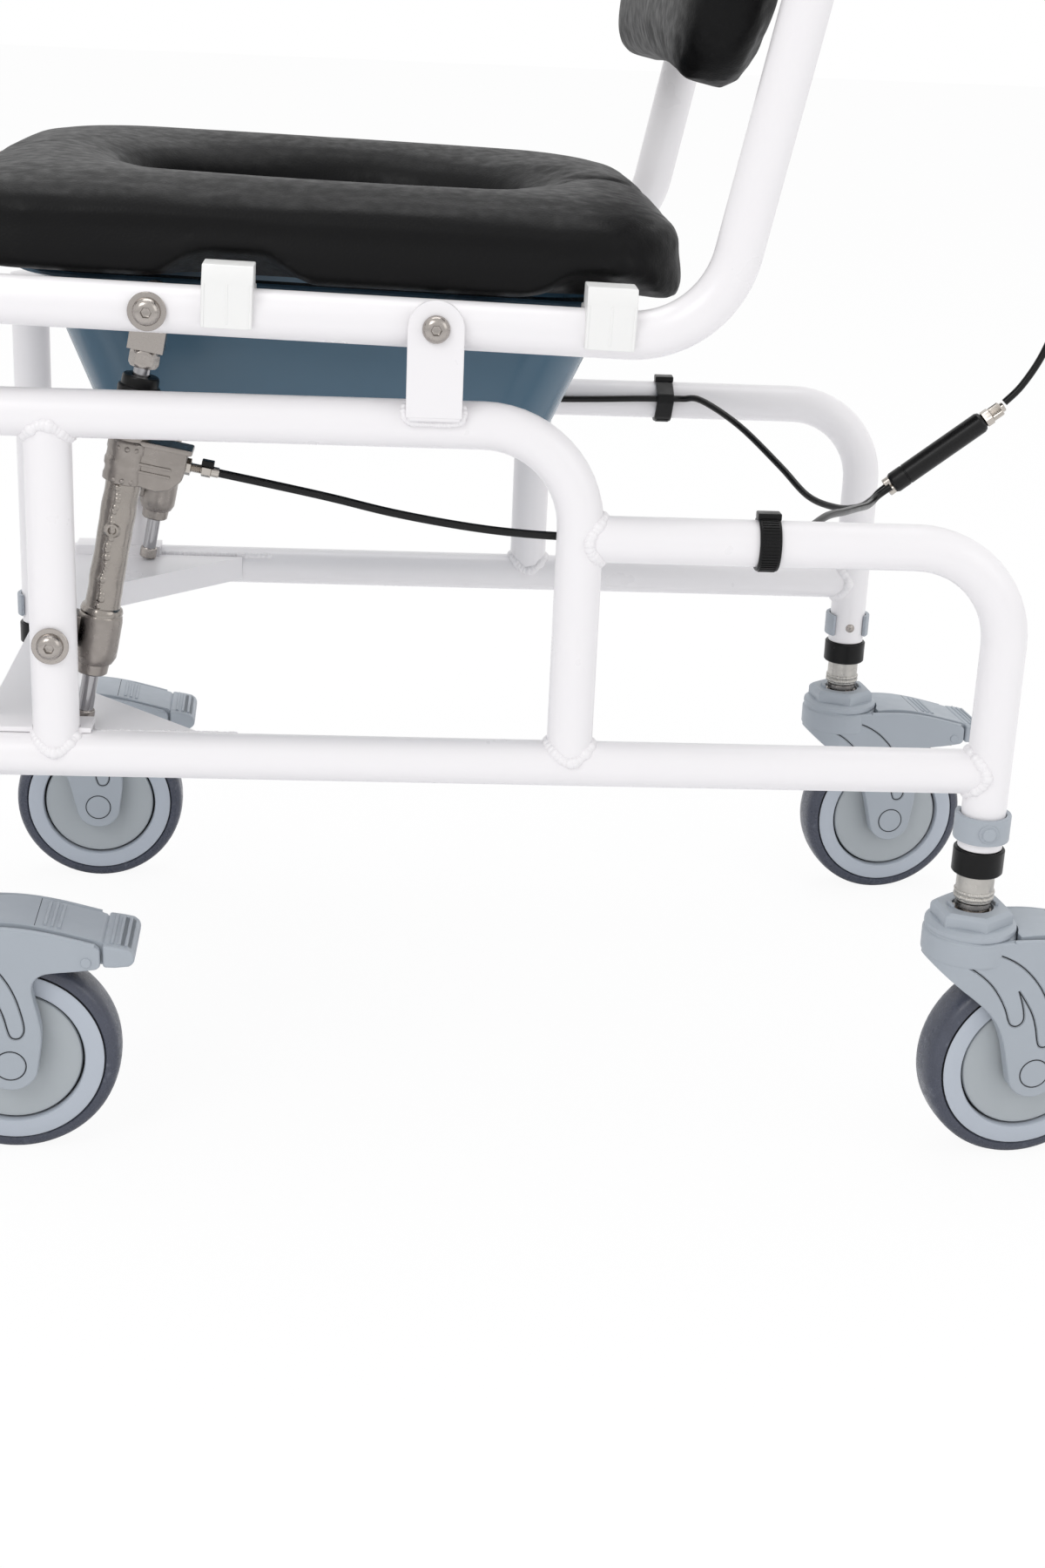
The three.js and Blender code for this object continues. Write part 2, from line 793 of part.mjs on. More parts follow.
function castorStem(x, y) {
  return join(
    barZ(x, y, STEM_SHOULDER_Z, STEM_TOP_Z, STEM_R, TUBE_SIDES),
    barZ(x, y, STEM_FOOT_Z, STEM_SHOULDER_Z + OVERRUN, STEM_FOOT_R),
  );
}

function legBush(x, y) {
  const top = LEG_END_Z - REST_GAP;
  return cut(
    barZ(x, y, top - BUSH_HEIGHT, top, BUSH_R, TUBE_SIDES),
    barZ(x, y, top - BUSH_HEIGHT - OVERRUN, top + OVERRUN, STEM_R + PIN_GAP, TUBE_SIDES),
  );
}

// A collar round the leg, open towards the middle of the chair, with a round button outside.
function legClip(x, y, out) {
  const innerR = TUBE_R + PIN_GAP;
  const outwards = out > 0 ? Math.PI / 2 : -Math.PI / 2;
  const half = Math.PI - rad(CLIP_OPENING_DEG) / 2;
  const shape = new THREE.Shape();
  shape.absarc(0, 0, CLIP_R, outwards - half, outwards + half, false);
  shape.absarc(0, 0, innerR, outwards + half, outwards - half, true);
  shape.closePath();
  const collar = slab(shape, CLIP_HEIGHT, [AXIS_X, AXIS_Y, AXIS_Z], vec(x, y, CLIP_LOW_Z));
  const z = CLIP_LOW_Z + CLIP_HEIGHT / 2;
  const from = (innerR + CLIP_R) / 2;
  const button = barY(
    x,
    z,
    y + out * from,
    y + out * (CLIP_R + CLIP_BUTTON_RISE),
    CLIP_BUTTON_R,
  );
  return join(collar, button);
}

const AXLE_Z = WHEEL_R * Math.cos(Math.PI / WHEEL_SIDES);

// Side outline of the fork's legs and cheeks, as shares of the wheel radius from the axle.
const FORK_FRONT_SHARES = [
  [-0.806, 1.373],
  [-0.806, 0.866],
  [-0.649, 0.739],
  [-0.433, 0.463],
  [-0.336, 0.224],
];
const FORK_REAR_SHARES = [
  [0.291, 0.207],
  [0.275, 0.479],
  [0.236, 0.73],
  [0.227, 0.837],
  [0.349, 0.972],
  [0.636, 1.022],
  [0.851, 1.057],
  [0.851, 1.276],
  [0.518, 1.339],
  [0.206, 1.373],
  [-0.109, 1.382],
];
const FORK_FOOT_SHARE = 0.272;
// The roof over the wheel lies under the pedal's travel.
const ROOF_SHARES = [
  [-0.836, 1.388],
  [-0.836, 0.716],
  [0, 0.95],
  [0.5, 0.8],
  [0.545, 0.978],
  [0.373, 1.06],
  [0.149, 1.112],
  [-0.075, 1.119],
  [-0.39, 1.15],
  [-0.39, 1.388],
];

const fromAxle = ([a, b]) => [CASTOR_TRAIL + a * WHEEL_R, AXLE_Z + b * WHEEL_R];

function forkShape() {
  const shape = new THREE.Shape();
  const [first, ...front] = FORK_FRONT_SHARES.map(fromAxle);
  shape.moveTo(...first);
  front.forEach((point) => shape.lineTo(...point));
  const foot = FORK_FOOT_SHARE * WHEEL_R;
  shape.absarc(CASTOR_TRAIL, AXLE_Z, foot, Math.PI, 2 * Math.PI, false);
  FORK_REAR_SHARES.map(fromAxle).forEach((point) => shape.lineTo(...point));
  shape.closePath();
  return shape;
}

function forkSolid() {
  const cheekIn = FORK_HALF - CHEEK_WALL;
  const thin = PEDAL_HALF + RUN_GAP;
  const cheeks = [-1, 1].map((s) =>
    sideSlab(forkShape(), Math.min(s * FORK_HALF, s * cheekIn), Math.max(s * FORK_HALF, s * cheekIn)),
  );
  const roof = sideSlab(outlineOf(ROOF_SHARES.map(fromAxle)), -cheekIn - REST_GAP, cheekIn + REST_GAP);
  const head = join(
    barZ(0, 0, HEAD_LOW_Z, HEAD_TOP_Z, FLANGE_R, HEAD_SIDES),
    bar(vec(0, 0, HEAD_FOOT_Z), vec(0, 0, HEAD_LOW_Z), HEAD_FOOT_R, HEAD_SIDES, FLANGE_R),
  );
  const flange = barZ(0, 0, HEAD_TOP_Z - OVERRUN, FLANGE_TOP_Z, FLANGE_R, HEAD_SIDES);
  const hex = barZ(0, 0, FLANGE_TOP_Z - OVERRUN, HEX_TOP_Z, HEX_R, HEX_SIDES);
  const axle = barY(CASTOR_TRAIL, AXLE_Z, -FORK_HALF, FORK_HALF, AXLE_R);
  const caps = barY(
    CASTOR_TRAIL,
    AXLE_Z,
    -FORK_HALF - AXLE_CAP_RISE,
    FORK_HALF + AXLE_CAP_RISE,
    AXLE_CAP_R,
  );
  const pinX = CASTOR_TRAIL + PEDAL_PIN_BACK;
  const pin = barY(pinX, PEDAL_PIN_Z, -FORK_HALF, FORK_HALF, PEDAL_PIN_R);
  const room = WHEEL_R + WHEEL_ROOM;
  const wheelRoom = barY(
    CASTOR_TRAIL,
    AXLE_Z,
    -WHEEL_HALF - RUN_GAP,
    WHEEL_HALF + RUN_GAP,
    room,
    HEAD_SIDES,
  );
  const pedalRoom = cut(
    box(
      0,
      CASTOR_TRAIL + 2 * WHEEL_R,
      -thin,
      thin,
      AXLE_Z + WHEEL_R,
      HEX_TOP_Z + OVERRUN,
    ),
    sideSlab(outlineOf(ROOF_SHARES.map(fromAxle)), -thin - OVERRUN, thin + OVERRUN),
  );
  const stemBore = barZ(0, 0, HEAD_BORE_Z, HEX_TOP_Z + OVERRUN, STEM_FOOT_R + PIN_GAP);
  const body = join(...cheeks.map((cheek) => cut(cheek, pedalRoom)), roof, head, flange, hex, caps);
  return join(cut(body, wheelRoom, stemBore), axle, pin);
}

function wheelSolid() {
  const rim = WHEEL_HALF - DISC_RECESS;
  const bore = AXLE_R + PIN_GAP;
  const half = [
    [bore, rim],
    [DISC_R, rim],
    [DISC_R + DISC_RECESS / 2, WHEEL_HALF],
    [RING_R, WHEEL_HALF],
    [SHOULDER_R, SHOULDER_HALF],
    [WHEEL_R, TREAD_HALF],
  ];
  const other = half.map(([radius, along]) => [radius, -along]).reverse();
  const profile = [...half, ...other, half[0]];
  return turned(profile, WHEEL_SIDES, vec(CASTOR_TRAIL, 0, AXLE_Z));
}

// Side outline of the pedal, as shares of the wheel radius from the axle.
const PEDAL_SHARES = [
  [-0.358, 1.418],
  [0.069, 1.425],
  [0.373, 1.381],
  [0.731, 1.306],
  [0.907, 1.254],
  [0.985, 1.242],
  [1.134, 1.213],
  [1.179, 1.164],
  [1.172, 1.075],
  [1.09, 1.037],
  [0.858, 1.052],
  [0.776, 1.027],
  [0.627, 1.037],
  [0.448, 1.164],
  [0.149, 1.224],
  [-0.358, 1.284],
];

function pedalSolid() {
  const shape = outlineOf(PEDAL_SHARES.map(fromAxle));
  const core = sideSlab(shape, -PEDAL_HALF, PEDAL_HALF);
  const block = box(
    CASTOR_TRAIL + PEDAL_BLOCK_BACK + RUN_GAP,
    CASTOR_TRAIL + PEDAL_END_BACK + OVERRUN,
    -PEDAL_END_HALF,
    PEDAL_END_HALF,
    AXLE_Z + WHEEL_R,
    AXLE_Z + 2 * WHEEL_R,
  );
  const wide = sideSlab(shape, -PEDAL_END_HALF, PEDAL_END_HALF).intersect(block);
  const pinX = CASTOR_TRAIL + PEDAL_PIN_BACK;
  const boss = barY(pinX, PEDAL_PIN_Z, -PEDAL_HALF, PEDAL_HALF, PEDAL_PIN_R * 2);
  const bore = barY(
    pinX,
    PEDAL_PIN_Z,
    -PEDAL_HALF - OVERRUN,
    PEDAL_HALF + OVERRUN,
    PEDAL_PIN_R + PIN_GAP,
  );
  const headRoom = barZ(0, 0, HEAD_LOW_Z, HEX_TOP_Z, FLANGE_R + RUN_GAP, HEAD_SIDES);
  return cut(join(core, wide, boss), bore, headRoom);
}

for (const { name, x, out, swivel } of CASTORS) {
  const y = out * FRAME_HALF;
  add(`${name}_stem`, castorStem(x, y), steel);
  add(`${name}_leg_bush`, legBush(x, y), blackRubber);
  add(`${name}_leg_clip`, legClip(x, y, out), clipGrey);
  const castor = new THREE.Group();
  castor.position.set(x, y, 0);
  castor.rotation.z = rad(swivel);
  chair.add(castor);
  add(`${name}_fork`, forkSolid(), castorGrey, castor);
  add(`${name}_wheel`, wheelSolid(), wheelGrey, castor);
  add(`${name}_pedal`, pedalSolid(), castorGrey, castor);
}

// Locking struts

const REST_TILT = rad(REST_TILT_DEG);
const STRUT_Y = FRAME_HALF - STRUT_PLANE_INSET;
const TOP_BOLT = vec(STRUT_TOP_BACK, 0, 0).applyAxisAngle(AXIS_Y, REST_TILT);
const STRUT_RUN = Math.hypot(
  PIVOT_X + TOP_BOLT.x - STRUT_POST_X,
  PIVOT_Z + TOP_BOLT.z - STRUT_BOLT_Z,
);
const STRUT_LEAN =
  Math.atan2(PIVOT_X + TOP_BOLT.x - STRUT_POST_X, PIVOT_Z + TOP_BOLT.z - STRUT_BOLT_Z) -
  Math.asin(ROD_OFFSET / STRUT_RUN);
const TOP_PIN = Math.sqrt(STRUT_RUN ** 2 - ROD_OFFSET ** 2);

function strutBody() {
  const up = (from, to, radius, end) =>
    bar(vec(ROD_OFFSET, 0, from), vec(ROD_OFFSET, 0, to), radius, TUBE_SIDES, end);
  const half = HOUSING_HALF;
  const arm = box(
    ROD_OFFSET,
    ROD_OFFSET + HOUSING_REACH - OVERRUN,
    -half,
    half,
    HOUSING_LOW + OVERRUN,
    HOUSING_TOP,
  );
  const port = bar(
    vec(ROD_OFFSET + HOUSING_REACH / 2, 0, CABLE_PORT_HEIGHT),
    vec(ROD_OFFSET + CABLE_PORT_REACH, 0, CABLE_PORT_HEIGHT),
    CABLE_PORT_R,
    CORD_SIDES,
  );
  const lug = barY(0, 0, -LUG_HALF, LUG_HALF, LUG_R);
  const web = box(0, ROD_OFFSET, -LUG_HALF, LUG_HALF, BARREL_LOW / 2, BARREL_TOP);
  const whole = join(
    up(BARREL_LOW, BARREL_TOP, BARREL_R),
    up(BARREL_TIP, BARREL_LOW, BARREL_TIP_R, BARREL_R),
    up(BARREL_TOP / 2, HOUSING_TOP, STRUT_TUBE_R),
    up(HOUSING_LOW, HOUSING_TOP, HOUSING_HOOP_R),
    up(HOUSING_TOP - OVERRUN, STRUT_CAP_LOW, STRUT_NECK_R),
    up(STRUT_CAP_LOW - OVERRUN, STRUT_CAP_TOP - STRUT_CAP_LIP, STRUT_CAP_R),
    up(STRUT_CAP_LOW, STRUT_CAP_TOP, STRUT_CAP_LIP_R),
    arm,
    port,
    lug,
    web,
  );
  const rodBore = up(BARREL_TIP - OVERRUN, STRUT_CAP_TOP + OVERRUN, ROD_R + PIN_GAP);
  const boltBore = barY(0, 0, -LUG_HALF - OVERRUN, LUG_HALF + OVERRUN, STRUT_BOLT_R + PIN_GAP);
  return cut(whole, rodBore, boltBore);
}

function strutRod() {
  const up = (from, to, radius, sides) =>
    bar(vec(ROD_OFFSET, 0, from), vec(ROD_OFFSET, 0, to), radius, sides);
  const low = TOP_PIN - CLEVIS_BELOW;
  const block = box(
    ROD_OFFSET - CLEVIS_WIDTH / 2,
    ROD_OFFSET + CLEVIS_WIDTH / 2,
    -CLEVIS_HALF,
    CLEVIS_HALF,
    low,
    TOP_PIN + CLEVIS_ABOVE,
  );
  const slot = box(
    ROD_OFFSET - CLEVIS_WIDTH,
    ROD_OFFSET + CLEVIS_WIDTH,
    -CLEVIS_SLOT_HALF,
    CLEVIS_SLOT_HALF,
    TOP_PIN - CLEVIS_SLOT_BELOW,
    TOP_PIN + CLEVIS_ABOVE + OVERRUN,
  );
  const eye = barY(
    ROD_OFFSET,
    TOP_PIN,
    -CLEVIS_HALF - OVERRUN,
    CLEVIS_HALF + OVERRUN,
    STRUT_BOLT_R + CLEVIS_PIN_ROOM,
  );
  const rod = up(ROD_TAIL, low + OVERRUN, ROD_R, TUBE_SIDES);
  const lockNut = up(low - LOCK_NUT_HEIGHT, low, LOCK_NUT_R, HEX_SIDES);
  return join(cut(block, slot, eye), rod, lockNut);
}

for (const { name, out } of SIDES) {
  const strut = new THREE.Group();
  strut.position.set(STRUT_POST_X, out * STRUT_Y, STRUT_BOLT_Z);
  strut.rotation.y = STRUT_LEAN;
  chair.add(strut);
  add(`${name}_strut_body`, strutBody(), castMetal, strut);
  add(`${name}_strut_rod`, strutRod(), steel, strut);
  const outside = FRAME_HALF + TUBE_R + REST_GAP;
  const lugFace = STRUT_Y + LUG_HALF + REST_GAP;
  const lugBack = STRUT_Y - LUG_HALF - REST_GAP;
  const bolt = boltThrough(
    STRUT_POST_X,
    STRUT_BOLT_Z,
    out,
    STRUT_BOLT_R,
    outside,
    STRUT_WASHER_R,
    lugBack - NUT_HEIGHT / 2,
  );
  const spacer = barY(
    STRUT_POST_X,
    STRUT_BOLT_Z,
    out * lugFace,
    out * (FRAME_HALF - TUBE_R - REST_GAP),
    STRUT_SPACER_R,
  );
  const inner = nut(STRUT_POST_X, STRUT_BOLT_Z, out, lugBack, SMALL_NUT_R, NUT_HEIGHT);
  add(`${name}_strut_bolt`, join(bolt, spacer, inner), steel);
}

// Tilting seat frame

const seat = new THREE.Group();
seat.position.set(PIVOT_X, 0, PIVOT_Z);
seat.rotation.y = REST_TILT;
chair.add(seat);

const BEND_TURN = Math.PI / 2 - rad(RECLINE_DEG);
const POST_BASE = vec(
  SEAT_BEND_X + TUBE_BEND_R * Math.sin(BEND_TURN),
  0,
  TUBE_BEND_R * (1 - Math.cos(BEND_TURN)),
);
const POST_WAY = vec(Math.sin(rad(RECLINE_DEG)), 0, Math.cos(rad(RECLINE_DEG)));
const postAt = (height, y = 0) => {
  const place = POST_BASE.clone().addScaledVector(POST_WAY, height);
  return place.setY(y);
};

function seatSide(out) {
  const y = out * FRAME_HALF;
  const corner = vec(SEAT_BEND_X + TUBE_BEND_R * Math.tan(BEND_TURN / 2), y, 0);
  const side = tube([vec(SEAT_FRONT_X, y, 0), corner, postAt(POST_LENGTH, y)]);
  const across = (from, to) => [Math.min(out * from, out * to), Math.max(out * from, out * to)];
  const shelf = box(
    RUNNER_FRONT_X,
    RUNNER_REAR_X,
    ...across(RUNNER_IN, RUNNER_OUT),
    RUNNER_TOP - RUNNER_WALL,
    RUNNER_TOP,
  );
  const arms = RUNNER_ARM_X.map((x) =>
    box(
      x - RUNNER_ARM_WIDTH / 2,
      x + RUNNER_ARM_WIDTH / 2,
      ...across(RUNNER_OUT - RUNNER_WALL / 2, FRAME_HALF - TUBE_R / 2),
      RUNNER_TOP - RUNNER_WALL,
      RUNNER_TOP,
    ),
  );
  const through = (x, z, radius) => barY(x, z, y - TUBE_R - OVERRUN, y + TUBE_R + OVERRUN, radius);
  const hub = postAt(ARM_HEIGHT);
  return cut(
    join(side, shelf, ...arms),
    through(0, 0, PIVOT_BOLT_R + PIN_GAP),
    through(STRUT_TOP_BACK, 0, STRUT_BOLT_R + PIN_GAP),
    through(hub.x, hub.z, ARM_PIN_R + PIN_GAP),
  );
}

// The strut's top bolt carries a sleeve between the clevis ears.
function strutTopBolt(out) {
  const x = STRUT_TOP_BACK;
  const outside = FRAME_HALF + TUBE_R + REST_GAP;
  const clevisBack = STRUT_Y - CLEVIS_HALF - REST_GAP;
  const bolt = boltThrough(
    x,
    0,
    out,
    STRUT_BOLT_R,
    outside,
    STRUT_WASHER_R,
    clevisBack - NUT_HEIGHT / 2,
  );
  const sleeve = barY(
    x,
    0,
    out * (STRUT_Y - SLEEVE_HALF),
    out * (STRUT_Y + SLEEVE_HALF),
    SLEEVE_R,
  );
  const washer = barY(
    x,
    0,
    out * clevisBack,
    out * (clevisBack - STRUT_WASHER),
    SMALL_WASHER_R,
  );
  const lock = nut(x, 0, out, clevisBack - STRUT_WASHER / 2, SMALL_NUT_R, NUT_HEIGHT);
  return join(bolt, sleeve, washer, lock);
}

// One clip holds the pad on the seat tube: it wraps the tube's outer half, rises beside the pad
// and reaches under it with a ledge.
function seatClip(x, out) {
  const innerR = TUBE_R + REST_GAP;
  const face = innerR + SEAT_CLIP_WALL;
  const shape = new THREE.Shape();
  const foot = Math.asin(SEAT_CLIP_FOOT / innerR);
  const lip = Math.acos(SEAT_CLIP_LIP / innerR);
  shape.moveTo(innerR * Math.cos(foot), -SEAT_CLIP_FOOT);
  shape.lineTo(face, -SEAT_CLIP_FOOT);
  shape.lineTo(face, SEAT_CLIP_SHOULDER);
  shape.lineTo(face - SEAT_CLIP_CHAMFER, SEAT_CLIP_TOP);
  shape.lineTo(-SEAT_CLIP_LIP, SEAT_CLIP_TOP);
  shape.lineTo(-SEAT_CLIP_LIP, TUBE_R);
  shape.lineTo(-SEAT_CLIP_LEDGE, TUBE_R);
  shape.lineTo(-SEAT_CLIP_LEDGE, TUBE_R - SEAT_CLIP_LEDGE_WALL);
  shape.lineTo(-SEAT_CLIP_LIP, innerR * Math.sin(lip));
  shape.absarc(0, 0, innerR, Math.PI - lip, -foot, true);
  shape.closePath();
  return slab(
    shape,
    SEAT_CLIP_WIDTH,
    [vec(0, out, 0), AXIS_Z, AXIS_X],
    vec(x - SEAT_CLIP_WIDTH / 2, out * FRAME_HALF, 0),
  );
}

for (const { name, out } of SIDES) {
  add(`${name}_seat_side`, seatSide(out), whitePaint, seat);
  add(`${name}_strut_top_bolt`, strutTopBolt(out), steel, seat);
  CLIP_PLACES_X.forEach((x, k) => {
    const end = k ? "rear" : "front";
    add(`${name}_${end}_seat_clip`, seatClip(x, out), whitePlastic, seat);
  });
}

// Back frame with push bar and lever clamp

const BAR_X = postAt(POST_LENGTH + BACK_RISE).x + PUSH_REACH;
const BAR_Z = postAt(POST_LENGTH + BACK_RISE).z;

function backFrame() {
  const start = POST_LENGTH + REST_GAP;
  const high = POST_LENGTH + BACK_RISE;
  const side = (out, height) => postAt(height, out * FRAME_HALF);
  const loop = tube([
    side(-1, start),
    side(-1, high),
    vec(BAR_X, -FRAME_HALF, BAR_Z),
    vec(BAR_X, FRAME_HALF, BAR_Z),
    side(1, high),
    side(1, start),
  ]);
  const sleeves = SIDES.map(({ out }) =>
    bar(side(out, start), side(out, start + BACK_SLEEVE_LENGTH), BACK_SLEEVE_R, TUBE_SIDES),
  );
  const lumbar = tube([
    side(-1, POST_LENGTH + LUMBAR_RISE),
    side(1, POST_LENGTH + LUMBAR_RISE),
  ]);
  const y = LEVER_Y;
  const clamp = barY(BAR_X, BAR_Z, y - CLAMP_WIDTH / 2, y + CLAMP_WIDTH / 2, CLAMP_R, TUBE_SIDES);
  const wall = LEVER_FORK_HALF + LEVER_FORK_WALL;
  const low = BAR_Z - LEVER_DROP - LEVER_EYE_R;
  const fork = box(BAR_X - wall, BAR_X + wall, y - CLAMP_WIDTH / 2, y + CLAMP_WIDTH / 2, low, BAR_Z);
  const slot = box(
    BAR_X - LEVER_FORK_HALF,
    BAR_X + LEVER_FORK_HALF,
    y - CLAMP_WIDTH / 2 + LEVER_FORK_WALL,
    y + CLAMP_WIDTH,
    low - OVERRUN,
    BAR_Z - CLAMP_R,
  );
  const pin = bar(
    vec(BAR_X - wall, y, BAR_Z - LEVER_DROP),
    vec(BAR_X + wall, y, BAR_Z - LEVER_DROP),
    LEVER_PIN_R,
  );
  return join(cut(join(loop, ...sleeves, lumbar, clamp, fork), slot), pin);
}
add("back_frame", backFrame(), whitePaint, seat);

function releaseLever() {
  const z = BAR_Z - LEVER_DROP;
  const half = LEVER_FORK_HALF - RUN_GAP;
  const eye = bar(vec(BAR_X - half, LEVER_Y, z), vec(BAR_X + half, LEVER_Y, z), LEVER_EYE_R - 1);
  const shape = outlineOf([
    [LEVER_Y, z + LEVER_BLADE_HALF],
    [LEVER_Y, z - LEVER_BLADE_HALF],
    [LEVER_Y + LEVER_LENGTH / 2, z - 2 * LEVER_BLADE_HALF],
    [LEVER_Y + LEVER_LENGTH, z - LEVER_BLADE_HALF],
    [LEVER_Y + LEVER_LENGTH, z + LEVER_BLADE_HALF / 2],
    [LEVER_Y + LEVER_LENGTH / 2, z],
  ]);
  const blade = slab(
    shape,
    2 * LEVER_BLADE,
    [AXIS_Y, AXIS_Z, AXIS_X],
    vec(BAR_X - LEVER_BLADE, 0, 0),
  );
  const bore = bar(
    vec(BAR_X - 2 * half, LEVER_Y, z),
    vec(BAR_X + 2 * half, LEVER_Y, z),
    LEVER_PIN_R + PIN_GAP,
  );
  return cut(join(eye, blade), bore);
}
add("release_lever", releaseLever(), blackRubber, seat);

// Front cross tube with the footrest hangers

const HANGER_FOOT = vec(FRONT_CROSS_X - HANGER_REACH - HANGER_LEAN, 0, -HANGER_DROP);

function frontCross() {
  const end = FRAME_HALF - TUBE_R - REST_GAP;
  const across = tube([vec(FRONT_CROSS_X, -end, 0), vec(FRONT_CROSS_X, end, 0)]);
  const hangers = SIDES.map(({ out }) => {
    const y = out * HANGER_HALF;
    return tube(
      [
        vec(FRONT_CROSS_X, y, 0),
        vec(FRONT_CROSS_X - HANGER_REACH, y, 0),
        vec(HANGER_FOOT.x, y, HANGER_FOOT.z),
      ],
      HANGER_R,
      HANGER_BEND_R,
    );
  });
  const ears = SIDES.map(({ out }) =>
    barY(
      HANGER_FOOT.x - HANGER_R - PLATE_BARREL_R,
      HANGER_FOOT.z + HANGER_R,
      out * (HANGER_HALF - HANGER_R / 2),
      out * (HANGER_HALF + HANGER_R / 2),
      PLATE_BARREL_R,
    ),
  );
  const webs = SIDES.map(({ out }) =>
    box(
      HANGER_FOOT.x - HANGER_R - PLATE_BARREL_R,
      HANGER_FOOT.x,
      out * (HANGER_HALF - HANGER_R / 2),
      out * (HANGER_HALF + HANGER_R / 2),
      HANGER_FOOT.z + HANGER_R / 2,
      HANGER_FOOT.z + HANGER_R * (3 / 2),
    ),
  );
  const pin = barY(
    HANGER_FOOT.x - HANGER_R - PLATE_BARREL_R,
    HANGER_FOOT.z + HANGER_R,
    -HANGER_HALF,
    HANGER_HALF,
    PLATE_PIN_R,
  );
  return join(across, ...hangers, ...ears, ...webs, pin);
}
add("front_cross_tube", frontCross(), whitePaint, seat);

function footplate() {
  const x = HANGER_FOOT.x - HANGER_R - PLATE_BARREL_R;
  const z = HANGER_FOOT.z + HANGER_R;
  const half = HANGER_HALF - HANGER_R / 2 - RUN_GAP;
  const barrel = barY(x, z, -half, half, PLATE_BARREL_R);
  const middle = x - PLATE_BARREL_R - RUN_GAP - PLATE_LENGTH / 2;
  const loop = roundedLoop(PLATE_LENGTH / 2, PLATE_HALF, PLATE_CORNER_R);
  const ring = (inset, height) =>
    roundedLoop(PLATE_LENGTH / 2 - inset, PLATE_HALF - inset, PLATE_CORNER_R - inset).map(
      ([a, b]) => vec(middle + a, b, z - PLATE_THICK / 2 + height),
    );
  const edge = PLATE_THICK / 4;
  const plate = loft([
    ring(edge, 0),
    loop.map(([a, b]) => vec(middle + a, b, z - PLATE_THICK / 2 + edge)),
    ring(0, PLATE_THICK - edge),
    ring(edge, PLATE_THICK),
  ]);
  const neck = box(
    middle + PLATE_LENGTH / 2 - PLATE_THICK,
    x,
    -half,
    half,
    z - PLATE_THICK / 3,
    z + PLATE_THICK / 3,
  );
  const bore = barY(x, z, -half - OVERRUN, half + OVERRUN, PLATE_PIN_R + PIN_GAP);
  return cut(join(barrel, plate, neck), bore);
}
add("footplate", footplate(), castorGrey, seat);

// Pads

// A crowned cushion: base ring, drawn-in side, rounded edge and crown, along one axis.
function cushion(halfA, halfB, cornerR, thick, crown, pull, place) {
  const edge = Math.min(thick / 3, cornerR / 2);
  const sideSteps = pull ? 6 : 1;
  const rim = (inset, height) =>
    roundedLoop(halfA - inset, halfB - inset, cornerR - inset, sideSteps, pull).map(([a, b]) =>
      place(a, b, height),
    );
  const crownRing = (share) =>
    roundedLoop(halfA - edge, halfB - edge, cornerR - edge, sideSteps, pull).map(([a, b]) =>
      place(a * share, b * share, thick + crown * (1 - share ** 2)),
    );
  const crownShares = [0.8, 0.55, 0.28];
  return loft([
    rim(edge / 2, 0),
    rim(0, edge),
    rim(0, thick - edge),
    rim(edge / 3, thick - edge / 3),
    rim(edge, thick),
    ...crownShares.map(crownRing),
  ]);
}

function seatPad() {
  const low = TUBE_R + REST_GAP;
  const middle = (PAD_FRONT_X + PAD_REAR_X) / 2;
  const halfA = (PAD_REAR_X - PAD_FRONT_X) / 2;
  const edgeSteps = 6;
  const outer = (inset) =>
    roundedLoop(halfA - inset, PAD_HALF - inset, PAD_CORNER_R - inset, edgeSteps);
  const rims = { full: outer(0), slight: outer(PAD_EDGE_R / 3), deep: outer(PAD_EDGE_R) };
  const holeAt = (a, b) => {
    const angle = Math.atan2(b / HOLE_WIDTH, (middle + a - HOLE_CENTRE_X) / HOLE_LENGTH);
    return [
      HOLE_CENTRE_X + (HOLE_LENGTH / 2) * Math.cos(angle),
      (HOLE_WIDTH / 2) * Math.sin(angle),
    ];
  };
  const blend = (loop, share, height) =>
    loop.map(([a, b]) => {
      const [holeX, holeY] = holeAt(a, b);
      const x = middle + a;
      return vec(holeX + (x - holeX) * share, holeY + (b - holeY) * share, low + height);
    });
  const lipShare = 0.06;
  const crownShares = [0.3, 0.55, 0.8];
  return loft(
    [
      blend(rims.full, 0, 0),
      blend(rims.full, 0, PAD_THICK * (2 / 3)),
      blend(rims.full, lipShare, PAD_THICK - PAD_EDGE_R / 3),
      ...crownShares.map((share) =>
        blend(rims.deep, share, PAD_THICK + PAD_CROWN * Math.sin(Math.PI * share)),
      ),
      blend(rims.deep, 1, PAD_THICK),
      blend(rims.slight, 1, PAD_THICK - PAD_EDGE_R / 3),
      blend(rims.full, 1, PAD_THICK - PAD_EDGE_R),
      blend(rims.full, 1, PAD_EDGE_R),
      blend(rims.slight, 1, 0),
    ],
    true,
  );
}
add("seat_pad", seatPad(), blackFoam, seat);

const back = new THREE.Group();
back.position.copy(POST_BASE);
back.rotation.y = rad(RECLINE_DEG);
seat.add(back);

const backCentre = BACK_PAD_LOW + BACK_PAD_HEIGHT / 2;
add(
  "back_pad",
  cushion(
    BACK_PAD_HALF,
    BACK_PAD_HEIGHT / 2,
    BACK_PAD_CORNER_R,
    BACK_PAD_THICK,
    BACK_PAD_CROWN,
    BACK_PAD_PULL,
    (a, b, height) => vec(-TUBE_R - REST_GAP - height, a, backCentre + b),
  ),
  blackFoam,
  back,
);

// Armrests, each on a pin in its back post

const ARM_AXIS = postAt(ARM_HEIGHT);
const ARM_Y = FRAME_HALF + ARM_INSET;

